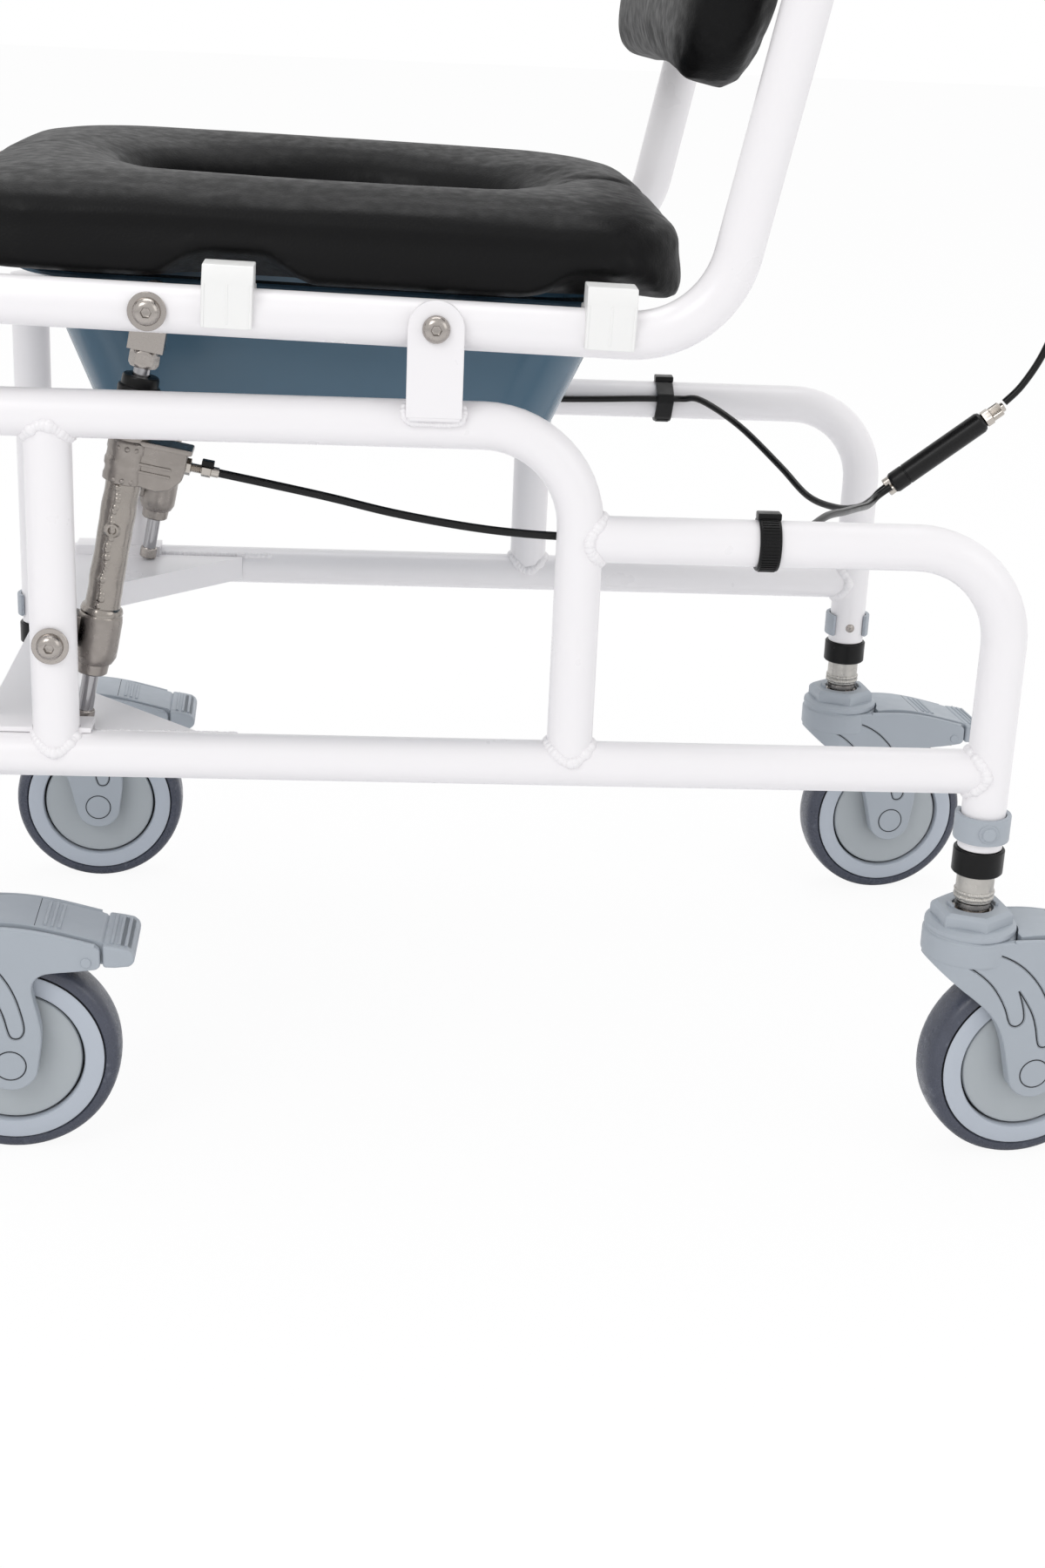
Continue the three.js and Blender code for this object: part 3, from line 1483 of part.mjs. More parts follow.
function armrest(out) {
  const y = out * ARM_Y;
  const hub = barY(
    ARM_AXIS.x,
    ARM_AXIS.z,
    out * (FRAME_HALF + TUBE_R + REST_GAP * 2),
    out * (ARM_Y + ARM_R),
    ARM_HUB_R,
    TUBE_SIDES,
  );
  const pin = barY(
    ARM_AXIS.x,
    ARM_AXIS.z,
    out * (FRAME_HALF - TUBE_R - OVERRUN),
    out * ARM_Y,
    ARM_PIN_R,
  );
  const front = ARM_AXIS.x - ARM_LENGTH;
  const rail = tube(
    [
      vec(ARM_AXIS.x, y, ARM_AXIS.z),
      vec(front, y, ARM_AXIS.z),
      vec(front, y, ARM_AXIS.z - ARM_DROP),
    ],
    ARM_R,
    ARM_BEND_R,
  );
  return join(hub, pin, rail);
}

function armPad(out) {
  const middle = ARM_AXIS.x - ARM_PAD_BACK - ARM_PAD_LENGTH / 2;
  const low = ARM_AXIS.z + ARM_R + REST_GAP;
  return cushion(
    ARM_PAD_LENGTH / 2,
    ARM_PAD_WIDTH / 2,
    ARM_PAD_CORNER_R,
    ARM_PAD_THICK,
    ARM_PAD_CROWN,
    0,
    (a, b, height) => vec(middle + a, out * ARM_Y + b, low + height),
  );
}

for (const { name, out } of SIDES) {
  add(`${name}_armrest`, armrest(out), whitePaint, seat);
  add(`${name}_arm_pad`, armPad(out), blackFoam, seat);
}

// Commode pan

function commodePan() {
  const middle = (PAN_FRONT_X + PAN_REAR_X) / 2;
  const halfA = (PAN_REAR_X - PAN_FRONT_X) / 2;
  const rimLow = RUNNER_TOP + REST_GAP;
  const floor = rimLow + PAN_RIM_HEIGHT - PAN_DEPTH;
  const ring = (inset, z) =>
    roundedLoop(halfA - inset, PAN_HALF - inset, PAN_CORNER_R, 2).map(([a, b]) =>
      vec(middle + a, b, z),
    );
  const rimTop = rimLow + PAN_RIM_HEIGHT;
  const flare = -PAN_RIM;
  const bowl = loft([
    ring(PAN_TAPER, floor),
    ring(0, rimLow),
    ring(flare, rimLow),
    ring(flare, rimTop),
    ring(PAN_WALL, rimTop),
    ring(PAN_TAPER + PAN_WALL, floor + PAN_WALL),
  ]);
  const grip = box(
    PAN_REAR_X,
    PAN_REAR_X + PAN_RIM + PAN_GRIP_REACH,
    -PAN_GRIP_HALF,
    PAN_GRIP_HALF,
    rimLow,
    rimTop,
  );
  return join(bowl, grip);
}
add("commode_pan", commodePan(), panBlue, seat);

// Release cables, splitter and straps

// A route keeps its distance to the rail, and draws in evenly where it crosses the frame.
const routeY = (y) => y + (FRAME_HALF - ROUTE_HALF) * Math.min(1, y / ROUTE_TURN_Y);
const sideRoute = (points, out) => points.map(([x, y, z]) => vec(x, out * routeY(y), z));
const leverRoute = LEVER_ROUTE.map((place) => vec(...place));
add("left_release_cable", cable(sideRoute(NEAR_ROUTE, -1)), blackRubber);
add("right_release_cable", cable(sideRoute(FAR_ROUTE, 1)), blackRubber);
add("lever_cable", cable(leverRoute), blackRubber);
add(
  "cable_splitter",
  join(
    bar(vec(...SPLITTER_FROM), vec(...SPLITTER_TO), SPLITTER_R),
    bar(vec(...SPLITTER_FROM), vec(...SPLITTER_NECK_TO), SPLITTER_NECK_R),
  ),
  blackRubber,
);

// A flat strap, pulled tight round the rail and the cable that lies along its inner side.
function strap(x, out, cablePlace) {
  const inward = FRAME_HALF - routeY(cablePlace[1]);
  const rise = cablePlace[2] - MID_RAIL_Z;
  const apart = Math.hypot(inward, rise);
  const facing = Math.atan2(rise, -inward);
  const across = [vec(0, out, 0), AXIS_Z, AXIS_X];
  const loop = (railR, cableR, from, width) => {
    const half = Math.acos((railR - cableR) / apart);
    const shape = new THREE.Shape();
    shape.absarc(0, 0, railR, facing + half, facing - half + 2 * Math.PI, false);
    shape.absarc(-inward, rise, cableR, facing - half, facing + half, false);
    shape.closePath();
    return slab(shape, width, across, vec(from, out * FRAME_HALF, MID_RAIL_Z));
  };
  const railR = TUBE_R + REST_GAP;
  const cableR = CABLE_R + STRAP_GAP;
  const from = x - STRAP_WIDTH / 2;
  return cut(
    loop(railR + STRAP_WALL, cableR + STRAP_WALL, from, STRAP_WIDTH),
    loop(railR, cableR, from - OVERRUN, STRAP_WIDTH + 2 * OVERRUN),
  );
}
add("left_cable_strap", strap(NEAR_STRAP_X, -1, NEAR_ROUTE[9]), blackRubber);
add("right_cable_strap", strap(FAR_STRAP_X, 1, FAR_ROUTE[9]), blackRubber);

// The part's own origin is the middle of its box, on the floor.
chair.updateMatrixWorld(true);
const whole = new THREE.Box3().setFromObject(chair, true);
chair.position.x = -(whole.min.x + whole.max.x) / 2;
chair.position.y = -(whole.min.y + whole.max.y) / 2;

const root = new THREE.Group();
root.add(chair);

export default root;
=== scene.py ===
"""Looks of a tilting shower commode chair: painted tube frame, braked castors, locking struts,
moulded pads, pan and release cables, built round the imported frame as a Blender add-on."""

import math

import bmesh
import bpy
from mathutils import Matrix, Vector, noise


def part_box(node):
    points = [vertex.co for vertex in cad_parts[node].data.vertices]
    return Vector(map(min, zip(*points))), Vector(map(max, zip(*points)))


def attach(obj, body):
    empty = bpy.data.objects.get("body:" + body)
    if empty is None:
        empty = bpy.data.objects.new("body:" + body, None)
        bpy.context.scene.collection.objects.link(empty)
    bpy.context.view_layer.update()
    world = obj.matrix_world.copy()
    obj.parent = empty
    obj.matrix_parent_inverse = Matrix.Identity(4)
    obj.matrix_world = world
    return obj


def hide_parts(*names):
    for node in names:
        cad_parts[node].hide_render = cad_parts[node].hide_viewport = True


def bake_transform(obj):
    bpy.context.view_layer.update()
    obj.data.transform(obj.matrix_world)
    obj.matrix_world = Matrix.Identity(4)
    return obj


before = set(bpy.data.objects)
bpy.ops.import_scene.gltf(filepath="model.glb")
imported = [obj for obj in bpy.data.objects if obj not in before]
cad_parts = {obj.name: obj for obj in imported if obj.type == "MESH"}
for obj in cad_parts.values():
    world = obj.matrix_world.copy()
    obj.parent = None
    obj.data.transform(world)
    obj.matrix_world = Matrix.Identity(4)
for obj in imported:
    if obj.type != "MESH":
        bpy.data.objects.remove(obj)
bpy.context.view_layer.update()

bl_info = {
    "name": "Shower commode chair",
    "version": (1, 0, 0),
    "blender": (4, 5, 0),
    "location": "3D View > Sidebar > Chair",
    "description": "Builds the finishes and soft parts of a tilting shower commode chair",
    "category": "Object",
}

# Places below are in millimetres from the rear leg's axis, the middle of the chair and the floor.
# The front looks along -X and the sitter's left side is -Y.
MM = 0.001
TUBE_R = 14.0
BEND_R = 60.0
FRAME_HALF = 225.0
UPRIGHT_X = -263.4
POST_X = -575.0
FRONT_X = -651.0
LOWER_Z = 266.0
MID_Z = 408.0
UPPER_Z = 474.0
LEG_END_Z = 216.0
PIVOT_X = -352.6
PIVOT_Z = 531.8
REST_TILT = math.radians(1.4)
RECLINE = math.radians(10)
GAP = 0.3
WHEEL_R = 67.0
WHEEL_SIDES = 24
TRAIL = 44.0
AXLE_Z = WHEEL_R * math.cos(math.pi / WHEEL_SIDES)
STRUT_Y = FRAME_HALF - 27.5
STRUT_BOLT_Z = 338.0
STRUT_TOP_BACK = -162.7
ROD_OFFSET = 23.0
LUG_HALF = 8.0
EAR_FACE = FRAME_HALF + TUBE_R + 6.3
SEAT_BEND_X = 111.6
SEAT_FRONT = -336.0
POST_LENGTH = 270.0
BACK_RISE = 190.0
LUMBAR_RISE = 70.0
CLIP_PLACES = {"front": -118.1, "rear": 99.2}
ARM_RISE = 225.0
ARM_Y = FRAME_HALF + 43.5
ARM_R = 12.5
SOFT_DEG = 60.0

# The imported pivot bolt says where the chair's own places start.
SHIFT = (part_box("left_pivot_bolt")[0].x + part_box("left_pivot_bolt")[1].x) / 2 - PIVOT_X * MM
CHAIR = Matrix.Translation((SHIFT, 0, 0)) @ Matrix.Scale(MM, 4)
SEAT = CHAIR @ Matrix.Translation((PIVOT_X, 0, PIVOT_Z)) @ Matrix.Rotation(REST_TILT, 4, "Y")
BEND_TURN = math.pi / 2 - RECLINE
POST_BASE = Vector(
    (SEAT_BEND_X + BEND_R * math.sin(BEND_TURN), 0, BEND_R * (1 - math.cos(BEND_TURN)))
)
POST_WAY = Vector((math.sin(RECLINE), 0, math.cos(RECLINE)))
BACK = SEAT @ Matrix.Translation(POST_BASE) @ Matrix.Rotation(RECLINE, 4, "Y")

top_bolt = Matrix.Rotation(REST_TILT, 3, "Y") @ Vector((STRUT_TOP_BACK, 0, 0))
strut_way = Vector((PIVOT_X + top_bolt.x - POST_X, PIVOT_Z + top_bolt.z - STRUT_BOLT_Z))
STRUT_LEAN = math.atan2(strut_way.x, strut_way.y) - math.asin(ROD_OFFSET / strut_way.length)
TOP_PIN = math.sqrt(strut_way.length**2 - ROD_OFFSET**2)

SIDES = {"left": -1, "right": 1}
OUTS = (-1, 1)
CASTORS = {
    "left_front": (FRONT_X, -1, 1.3),
    "right_front": (FRONT_X, 1, 2.3),
    "left_rear": (0, -1, 8.5),
    "right_rear": (0, 1, 7.3),
}

# Camera of the photograph, solved from the frame's straight tubes, in the chair's millimetres.
PHOTO_SIZE = (1200, 1800)
PHOTO_FOCAL_PX = 2588.43
SENSOR_MM = 36.0
CAMERA_AT = (-382.66, -1528.11, 736.49)
CAMERA_RIGHT = Vector((0.99764, -0.05466, 0.04161))
CAMERA_UP = Vector((-0.01989, 0.34988, 0.93657))
CAMERA_AHEAD = Vector((0.06576, 0.93519, -0.34797))


def post_at(height, y=0.0):
    """A place on the back post's axis, from the seat's pivot."""
    place = POST_BASE + POST_WAY * height
    return Vector((place.x, y, place.z))


def linear(hex_colour):
    """An sRGB hex colour as linear red, green and blue."""
    parts = [int(hex_colour[i : i + 2], 16) / 255 for i in (1, 3, 5)]
    return [c / 12.92 if c <= 0.04045 else ((c + 0.055) / 1.055) ** 2.4 for c in parts]


# What a user may change


def colour_property(name, about, hex_colour):
    return bpy.props.FloatVectorProperty(
        name=name,
        description=about,
        subtype="COLOR",
        size=3,
        min=0,
        max=1,
        default=linear(hex_colour),
    )


def length_property(name, about, millimetres):
    return bpy.props.FloatProperty(
        name=name, description=about, unit="LENGTH", default=millimetres * MM, min=0, precision=4
    )


class ChairColours(bpy.types.PropertyGroup):
    """The colour of each finish."""

    paint: colour_property("Paint", "White powder coat of the tube frame", "#EDEBED")
    clip: colour_property("Clips", "White nylon of the seat clips", "#EBEBEA")
    castor: colour_property("Castor", "Grey nylon of forks, pedals and collars", "#A3AAB2")
    ring: colour_property("Wheel ring", "Pale polypropylene ring of each wheel", "#B3BAC4")
    disc: colour_property("Wheel disc", "Grey polypropylene hub disc", "#A9AFB3")
    tyre: colour_property("Tyre", "Slate polyurethane tyre", "#434754")
    pan: colour_property("Pan", "Blue-grey polypropylene of the commode pan", "#466377")
    pad: colour_property("Pads", "Black self-skinned polyurethane foam", "#0B0B0C")
    rubber: colour_property("Black plastic", "Black rubber and plastic", "#0B0B0C")
    steel: colour_property("Steel", "Stainless steel of bolts and nuts", "#A8A29D")
    casting: colour_property("Casting", "Zinc casting of the strut bodies", "#96908B")


class ChairSizes(bpy.types.PropertyGroup):
    """Sizes of the finishing details."""

    weld_radius: length_property("Weld bead", "Radius of one ripple of a weld bead", 3.7)
    weld_step: length_property("Weld step", "Distance between two ripples of a weld bead", 2.9)
    groove_radius: length_property("Groove", "Radius of the grooves in the castor forks", 1.1)
    tube_sides: bpy.props.IntProperty(
        name="Tube sides", description="Facets round a frame tube", default=32, min=8, max=96
    )
    pad_swell: length_property("Pad swell", "Most that a pad's skin may move as it fills", 6.0)


def sizes():
    return bpy.context.scene.chair_sizes


def colours():
    return bpy.context.scene.chair_colours


# Materials


def add_node(tree, kind, inputs=None, **settings):
    """Adds a node, sets its properties, and sets or links its inputs."""
    made = tree.nodes.new(kind)
    for name, value in settings.items():
        setattr(made, name, value)
    for key, value in (inputs or {}).items():
        if isinstance(value, bpy.types.NodeSocket):
            tree.links.new(value, made.inputs[key])
        else:
            made.inputs[key].default_value = value
    return made


def empty_tree(holder):
    """The node tree of a material or a world, with nothing in it."""
    holder.use_nodes = True
    holder.node_tree.nodes.clear()
    return holder.node_tree


def per_metre(millimetres):
    """A texture scale that gives features of this size."""
    return 1 / (millimetres * MM)


def rgba(colour, gain=1.0):
    return (*[min(1.0, c * gain) for c in colour], 1.0)


def surface(name, colour, roughness, metallic=0.0, cloud_mm=30.0, cloud=0.05, gloss_mm=8.0,
            gloss=0.06, grain_mm=0.8, grain_depth_mm=0.02, pebbles=False, specular=0.5,
            wear=None):
    """A finish whose colour clouds slightly, whose gloss varies and whose skin has a grain."""
    material = bpy.data.materials.new(name)
    tree = empty_tree(material)
    place = add_node(tree, "ShaderNodeTexCoord").outputs["Object"]
    clouds = add_node(tree, "ShaderNodeTexNoise", {
        "Vector": place, "Scale": per_metre(cloud_mm), "Detail": 3.0, "Roughness": 0.55})
    tint = add_node(tree, "ShaderNodeMix", {
        "Factor": clouds.outputs["Fac"], "A": rgba(colour, 1 - cloud),
        "B": rgba(colour, 1 + cloud)}, data_type="RGBA").outputs["Result"]
    if wear:
        wear_colour, wear_mm, wear_from, wear_detail = wear
        scuffs = add_node(tree, "ShaderNodeTexNoise", {
            "Vector": place, "Scale": per_metre(wear_mm), "Detail": wear_detail,
            "Roughness": 0.6})
        mask = add_node(tree, "ShaderNodeMapRange", {
            "Value": scuffs.outputs["Fac"], "From Min": wear_from,
            "From Max": wear_from + 0.12}).outputs["Result"]
        tint = add_node(tree, "ShaderNodeMix", {
            "Factor": mask, "A": tint, "B": rgba(linear(wear_colour))},
            data_type="RGBA").outputs["Result"]
    shine = add_node(tree, "ShaderNodeTexNoise", {
        "Vector": place, "Scale": per_metre(gloss_mm), "Detail": 4.0})
    rough = add_node(tree, "ShaderNodeMapRange", {
        "Value": shine.outputs["Fac"], "From Min": 0.3, "From Max": 0.7,
        "To Min": max(0.02, roughness - gloss), "To Max": min(1.0, roughness + gloss)})
    fine = {"Vector": place, "Scale": per_metre(grain_mm)}
    if pebbles:
        grain = add_node(tree, "ShaderNodeTexVoronoi", {**fine, "Smoothness": 0.6},
                         feature="SMOOTH_F1").outputs["Distance"]
    else:
        grain = add_node(tree, "ShaderNodeTexNoise", {**fine, "Detail": 2.0}).outputs["Fac"]
    relief = add_node(tree, "ShaderNodeBump", {
        "Strength": 1.0, "Distance": grain_depth_mm * MM, "Height": grain})
    skin = add_node(tree, "ShaderNodeBsdfPrincipled", {
        "Base Color": tint, "Roughness": rough.outputs["Result"], "Metallic": metallic,
        "Specular IOR Level": specular, "Normal": relief.outputs["Normal"]})
    add_node(tree, "ShaderNodeOutputMaterial", {"Surface": skin.outputs["BSDF"]})
    return material


# Each finish: the comment says what the real material gives the eye, then come its colour as a
# setting's name or as a value, its roughness, and what sets it apart from a plain moulding.
FINISHES = {
    # Baked polyester powder: smooth, even and glossy, with soft reflections.
    "gloss_powder_coat": ("paint", 0.3, dict(
        cloud=0.006, gloss_mm=40.0, gloss=0.03, grain_depth_mm=0.0)),
    # Injection-moulded nylon: whiter and duller than the paint.
    "white_nylon": ("clip", 0.42, dict(cloud=0.015, grain_mm=1.4, grain_depth_mm=0.02)),
    # Glass-filled nylon from a spark-eroded mould: an even satin skin.
    "grey_nylon": ("castor", 0.46, dict(cloud=0.035, grain_mm=0.9, grain_depth_mm=0.035)),
    # Smooth moulded polypropylene, paler and bluer than the fork.
    "ring_polypropylene": ("ring", 0.4, dict(cloud=0.02, grain_mm=1.2, grain_depth_mm=0.015)),
    # Satin moulded polypropylene of the hub cover.
    "disc_polypropylene": ("disc", 0.44, dict(cloud=0.02, grain_mm=1.0, grain_depth_mm=0.02)),
    # Painted shade: a flat dark colour for the unlit gap between two mouldings, and for unlit
    # grooves and seams.
    "dark_seam": ("#16181C", 0.8, dict(cloud=0.0, grain_depth_mm=0.0)),
    # Cast polyurethane tread: slate and glossy, with pale scuffs from the floor.
    "cast_polyurethane": ("tyre", 0.3, dict(
        cloud_mm=14.0, cloud=0.16, gloss_mm=5.0, gloss=0.12, grain_mm=2.4, grain_depth_mm=0.05,
        wear=("#5F636E", 11.0, 0.6, 6.0))),
    # Self-skinned polyurethane foam: a leathery black skin of fine pebbles.
    "self_skinned_foam": ("pad", 0.46, dict(
        cloud=0.12, gloss=0.08, grain_mm=1.5, grain_depth_mm=0.1, pebbles=True, specular=0.14)),
    # Moulded black plastic and rubber with a low shine.
    "black_plastic": ("rubber", 0.34, dict(
        cloud=0.1, gloss=0.08, grain_mm=1.1, grain_depth_mm=0.01, specular=0.22)),
    # Extruded glossy black sleeve of the cables and the splitter.
    "gloss_black_sleeve": ("#0A0A0B", 0.32, dict(
        cloud=0.1, gloss=0.03, grain_mm=3.0, grain_depth_mm=0.0, specular=0.3)),
    # Turned stainless steel: bright, with fine scratches.
    "stainless_steel": ("steel", 0.24, dict(
        metallic=1.0, cloud=0.06, gloss_mm=2.5, gloss=0.1, grain_mm=0.7, grain_depth_mm=0.01)),
    # Ground and chromed steel: almost a mirror.
    "chromed_rod": ("#A3A2A4", 0.12, dict(
        metallic=1.0, cloud=0.03, gloss=0.04, grain_mm=1.5, grain_depth_mm=0.004)),
    # Zinc-plated steel tube: pale grey with dull and bright flecks.
    "galvanised_tube": ("#B9B6B1", 0.38, dict(
        metallic=0.85, cloud_mm=7.0, cloud=0.14, gloss_mm=3.0, gloss=0.14, grain_mm=1.6,
        grain_depth_mm=0.05)),
    # Tumbled zinc casting: warm grey and dented; its clouded tone is partly real unevenness and
    # partly painted reflection, dark and bright patches that stand in for the room the metal
    # mirrors.
    "rough_casting": ("casting", 0.34, dict(
        metallic=1.0, cloud_mm=16.0, cloud=0.14, gloss_mm=5.0, gloss=0.1, grain_mm=3.4,
        grain_depth_mm=0.2)),
    # Nickel-plated steel: bright, as drawn tube is; its clouded tone is partly gentle real
    # unevenness and partly painted reflection, patches that stand in for the room the metal
    # mirrors.
    "plated_strut_tube": ("#99938D", 0.24, dict(
        metallic=1.0, cloud_mm=30.0, cloud=0.1, gloss_mm=6.0, gloss=0.1, grain_mm=7.0,
        grain_depth_mm=0.22)),
    # Nickel-plated brass of the cable's adjusters: warmer than steel.
    "nickel_brass": ("#BBB5AE", 0.22, dict(metallic=1.0, cloud=0.08, grain_depth_mm=0.01)),
    # Glossy moulded polypropylene of an even colour, that mirrors the room softly.
    "pan_polypropylene": ("pan", 0.24, dict(
        cloud_mm=90.0, cloud=0.05, gloss_mm=120.0, gloss=0.03, grain_depth_mm=0.0,
        specular=0.45)),
    # Cream rubber block that the pedal presses on the tread: dull and slightly rough.
    "brake_rubber": ("#D8D5C4", 0.6, dict(cloud=0.05, grain_depth_mm=0.03)),
}


def finish_of(name):
    """The finish of this name, made at its first use and shared by every piece."""
    kept = bpy.data.materials.get(name)
    if kept is None:
        colour, roughness, values = FINISHES[name]
        colour = linear(colour) if colour.startswith("#") else getattr(colours(), colour)
        kept = surface(name, colour, roughness, **values)
    return kept


# Shapes, all in millimetres before they are placed


def mesh_of(points, faces):
    """A smooth mesh from points and faces, with its faces turned outwards."""
    made = bmesh.new()
    corners = [made.verts.new(p) for p in points]
    for face in faces:
        made.faces.new([corners[i] for i in face])
    bmesh.ops.remove_doubles(made, verts=made.verts, dist=1e-4)
    bmesh.ops.recalc_face_normals(made, faces=made.faces)
    mesh = bpy.data.meshes.new("shape")
    made.to_mesh(mesh)
    made.free()
    return mesh


def loft(rings, around=False, tints=None):
    """Rings of as many points joined into one skin, with flat ends or closed on itself."""
    count = len(rings[0])
    points = [p for ring in rings for p in ring]
    faces, marks = [], []
    last = len(rings) if around else len(rings) - 1
    for r in range(last):
        low, high = r * count, ((r + 1) % len(rings)) * count
        for i in range(count):
            j = (i + 1) % count
            faces.append((low + i, low + j, high + j, high + i))
            marks.append(tints[r] if tints else 0)
    if not around:
        faces.append(tuple(range(count))[::-1])
        faces.append(tuple(range((len(rings) - 1) * count, len(rings) * count)))
        marks += [tints[0], tints[-1]] if tints else [0, 0]
    mesh = mesh_of(points, faces)
    if tints and len(mesh.polygons) == len(marks):
        mesh.polygons.foreach_set("material_index", marks)
    return mesh


def circle(radius, height, sides=48):
    turns = [2 * math.pi / sides * i for i in range(sides)]
    return [Vector((radius * math.cos(t), radius * math.sin(t), height)) for t in turns]


def hexagon(across_corners, height, sides=48, round_share=0.0, start=0.0):
    """A hexagon with as many points as a circle, its corners rounded by a share."""
    points = []
    for i in range(sides):
        angle = 2 * math.pi * i / sides
        inner = (angle + math.pi / 6) % (math.pi / 3) - math.pi / 6
        flat = across_corners * math.cos(math.pi / 6) / math.cos(math.pi / 6 - abs(inner))
        radius = flat * (1 - round_share) + across_corners * 0.93 * round_share
        points.append(
            Vector((radius * math.cos(angle + start), radius * math.sin(angle + start), height))
        )
    return points


def turned(profile, sides=48):
    """A solid turned about Z from pairs of radius and height."""
    return loft([circle(max(r, 0.01), z, sides) for r, z in profile])


def ring_turned(profile, sides=48, tints=None):
    """A ring turned about Z from a closed profile."""
    return loft([circle(r, z, sides) for r, z in profile], around=True, tints=tints)


def bevel(mesh, width, segments):
    """Rounds the sharp edges of a mesh."""
    made = bmesh.new()
    made.from_mesh(mesh)
    sharp = [e for e in made.edges
             if len(e.link_faces) == 2 and e.calc_face_angle(0.0) > math.radians(30)]
    bmesh.ops.bevel(made, geom=sharp, offset=width, offset_type="OFFSET", segments=segments,
                    profile=0.5, affect="EDGES", clamp_overlap=True)
    made.to_mesh(mesh)
    made.free()
    return mesh


def prism(outline, low, high, width=0.0, segments=3):
    """A flat outline made as deep as low to high along Z, with round edges."""
    count = len(outline)
    points = [Vector((a, b, low)) for a, b in outline] + [Vector((a, b, high)) for a, b in outline]
    faces = [(i, (i + 1) % count, (i + 1) % count + count, i + count) for i in range(count)]
    faces += [tuple(range(count))[::-1], tuple(range(count, 2 * count))]
    mesh = mesh_of(points, faces)
    return bevel(mesh, width, segments) if width else mesh


def block(low, high, width=0.0, segments=3):
    """A box between two corners with round edges."""
    (x0, y0, z0), (x1, y1, z1) = low, high
    return prism([(x0, y0), (x1, y0), (x1, y1), (x0, y1)], z0, z1, width, segments)


def arc(centre, radius, start_deg, end_deg, steps=12):
    """Points of an arc in a plane."""
    turns = [math.radians(start_deg + (end_deg - start_deg) * i / steps) for i in range(steps + 1)]
    return [(centre[0] + radius * math.cos(t), centre[1] + radius * math.sin(t)) for t in turns]


def rounded_box(half_a, half_b, radius, steps=8, side_steps=1):
    """Outline of a rectangle with round corners, its sides divided."""
    points = []
    corners = [(1, 1), (-1, 1), (-1, -1), (1, -1)]
    for k, (sa, sb) in enumerate(corners):
        centre = (sa * (half_a - radius), sb * (half_b - radius))
        points += arc(centre, radius, 90 * k, 90 * (k + 1), steps)
        na, nb = corners[(k + 1) % 4]
        here = points[-1]
        after = arc((na * (half_a - radius), nb * (half_b - radius)), radius, 90 * (k + 1),
                    90 * (k + 1), 1)[0]
        for j in range(1, side_steps):
            share = j / side_steps
            points.append(tuple(here[i] + (after[i] - here[i]) * share for i in (0, 1)))
    return points


def smooth_line(points, steps=6):
    """A Catmull-Rom line through points of two or three numbers."""
    places = []
    held = [points[0], *points, points[-1]]
    for near in zip(held, held[1:], held[2:], held[3:]):
        for i in range(steps):
            t = i / steps
            places.append(tuple(
                0.5 * (2 * b + (c - a) * t + (2 * a - 5 * b + 4 * c - d) * t * t
                       + (3 * b - a - 3 * c + d) * t**3)
                for a, b, c, d in zip(*near)
            ))
    return [*places, tuple(points[-1])]


def moved(mesh, matrix):
    """The mesh, placed."""
    mesh.transform(matrix)
    if matrix.determinant() < 0:
        mesh.flip_normals()
    return mesh


def shifted(mesh, x=0.0, y=0.0, z=0.0):
    return moved(mesh, Matrix.Translation((x, y, z)))


def along(start, end):
    """A frame whose Z runs from start towards end."""
    way = Vector(end) - Vector(start)
    return Matrix.Translation(start) @ way.to_track_quat("Z", "Y").to_matrix().to_4x4()


# Z of a flat outline turned to look along +Y, so that its plane holds X and Z.
SIDEWAYS = Matrix(((1, 0, 0, 0), (0, 0, 1, 0), (0, 1, 0, 0), (0, 0, 0, 1)))


def upright(outline, low, high, width=0.0, segments=3):
    """A prism whose outline stands in X and Z and that is deep along Y."""
    return moved(prism(outline, low, high, width, segments), SIDEWAYS)


def across(place, axis):
    """A frame at a place whose Z is turned a quarter about X or Y."""
    return Matrix.Translation(place) @ Matrix.Rotation(math.pi / 2, 4, axis)


def joined(parts):
    """Meshes joined into one. Each part is a mesh or a pair of mesh and material number."""
    made = bmesh.new()
    for part in parts:
        mesh, number = part if isinstance(part, tuple) else (part, None)
        before = len(made.faces)
        made.from_mesh(mesh)
        if number is not None:
            made.faces.ensure_lookup_table()
            for face in made.faces[before:]:
                face.material_index = number
        bpy.data.meshes.remove(mesh)
    whole = bpy.data.meshes.new("joined")
    made.to_mesh(whole)
    made.free()
    return whole


def new_object(name, data):
    """An object in the scene that holds the data."""
    made = bpy.data.objects.new(name, data)
    bpy.context.scene.collection.objects.link(made)
    return made


def evaluated(held):
    """The plain mesh that an object's modifiers make."""
    graph = bpy.context.evaluated_depsgraph_get()
    return bpy.data.meshes.new_from_object(held.evaluated_get(graph))


def carve(mesh, tool, operation="DIFFERENCE"):
    """Cuts one mesh by another, or keeps what both share."""
    body, cutter = new_object("body", mesh), new_object("cutter", tool)
    step = body.modifiers.new("cut", "BOOLEAN")
    step.operation = operation
    step.solver = "EXACT"
    step.object = cutter
    shaped = evaluated(body)
    for each in (body, cutter):
        bpy.data.objects.remove(each)
    return shaped


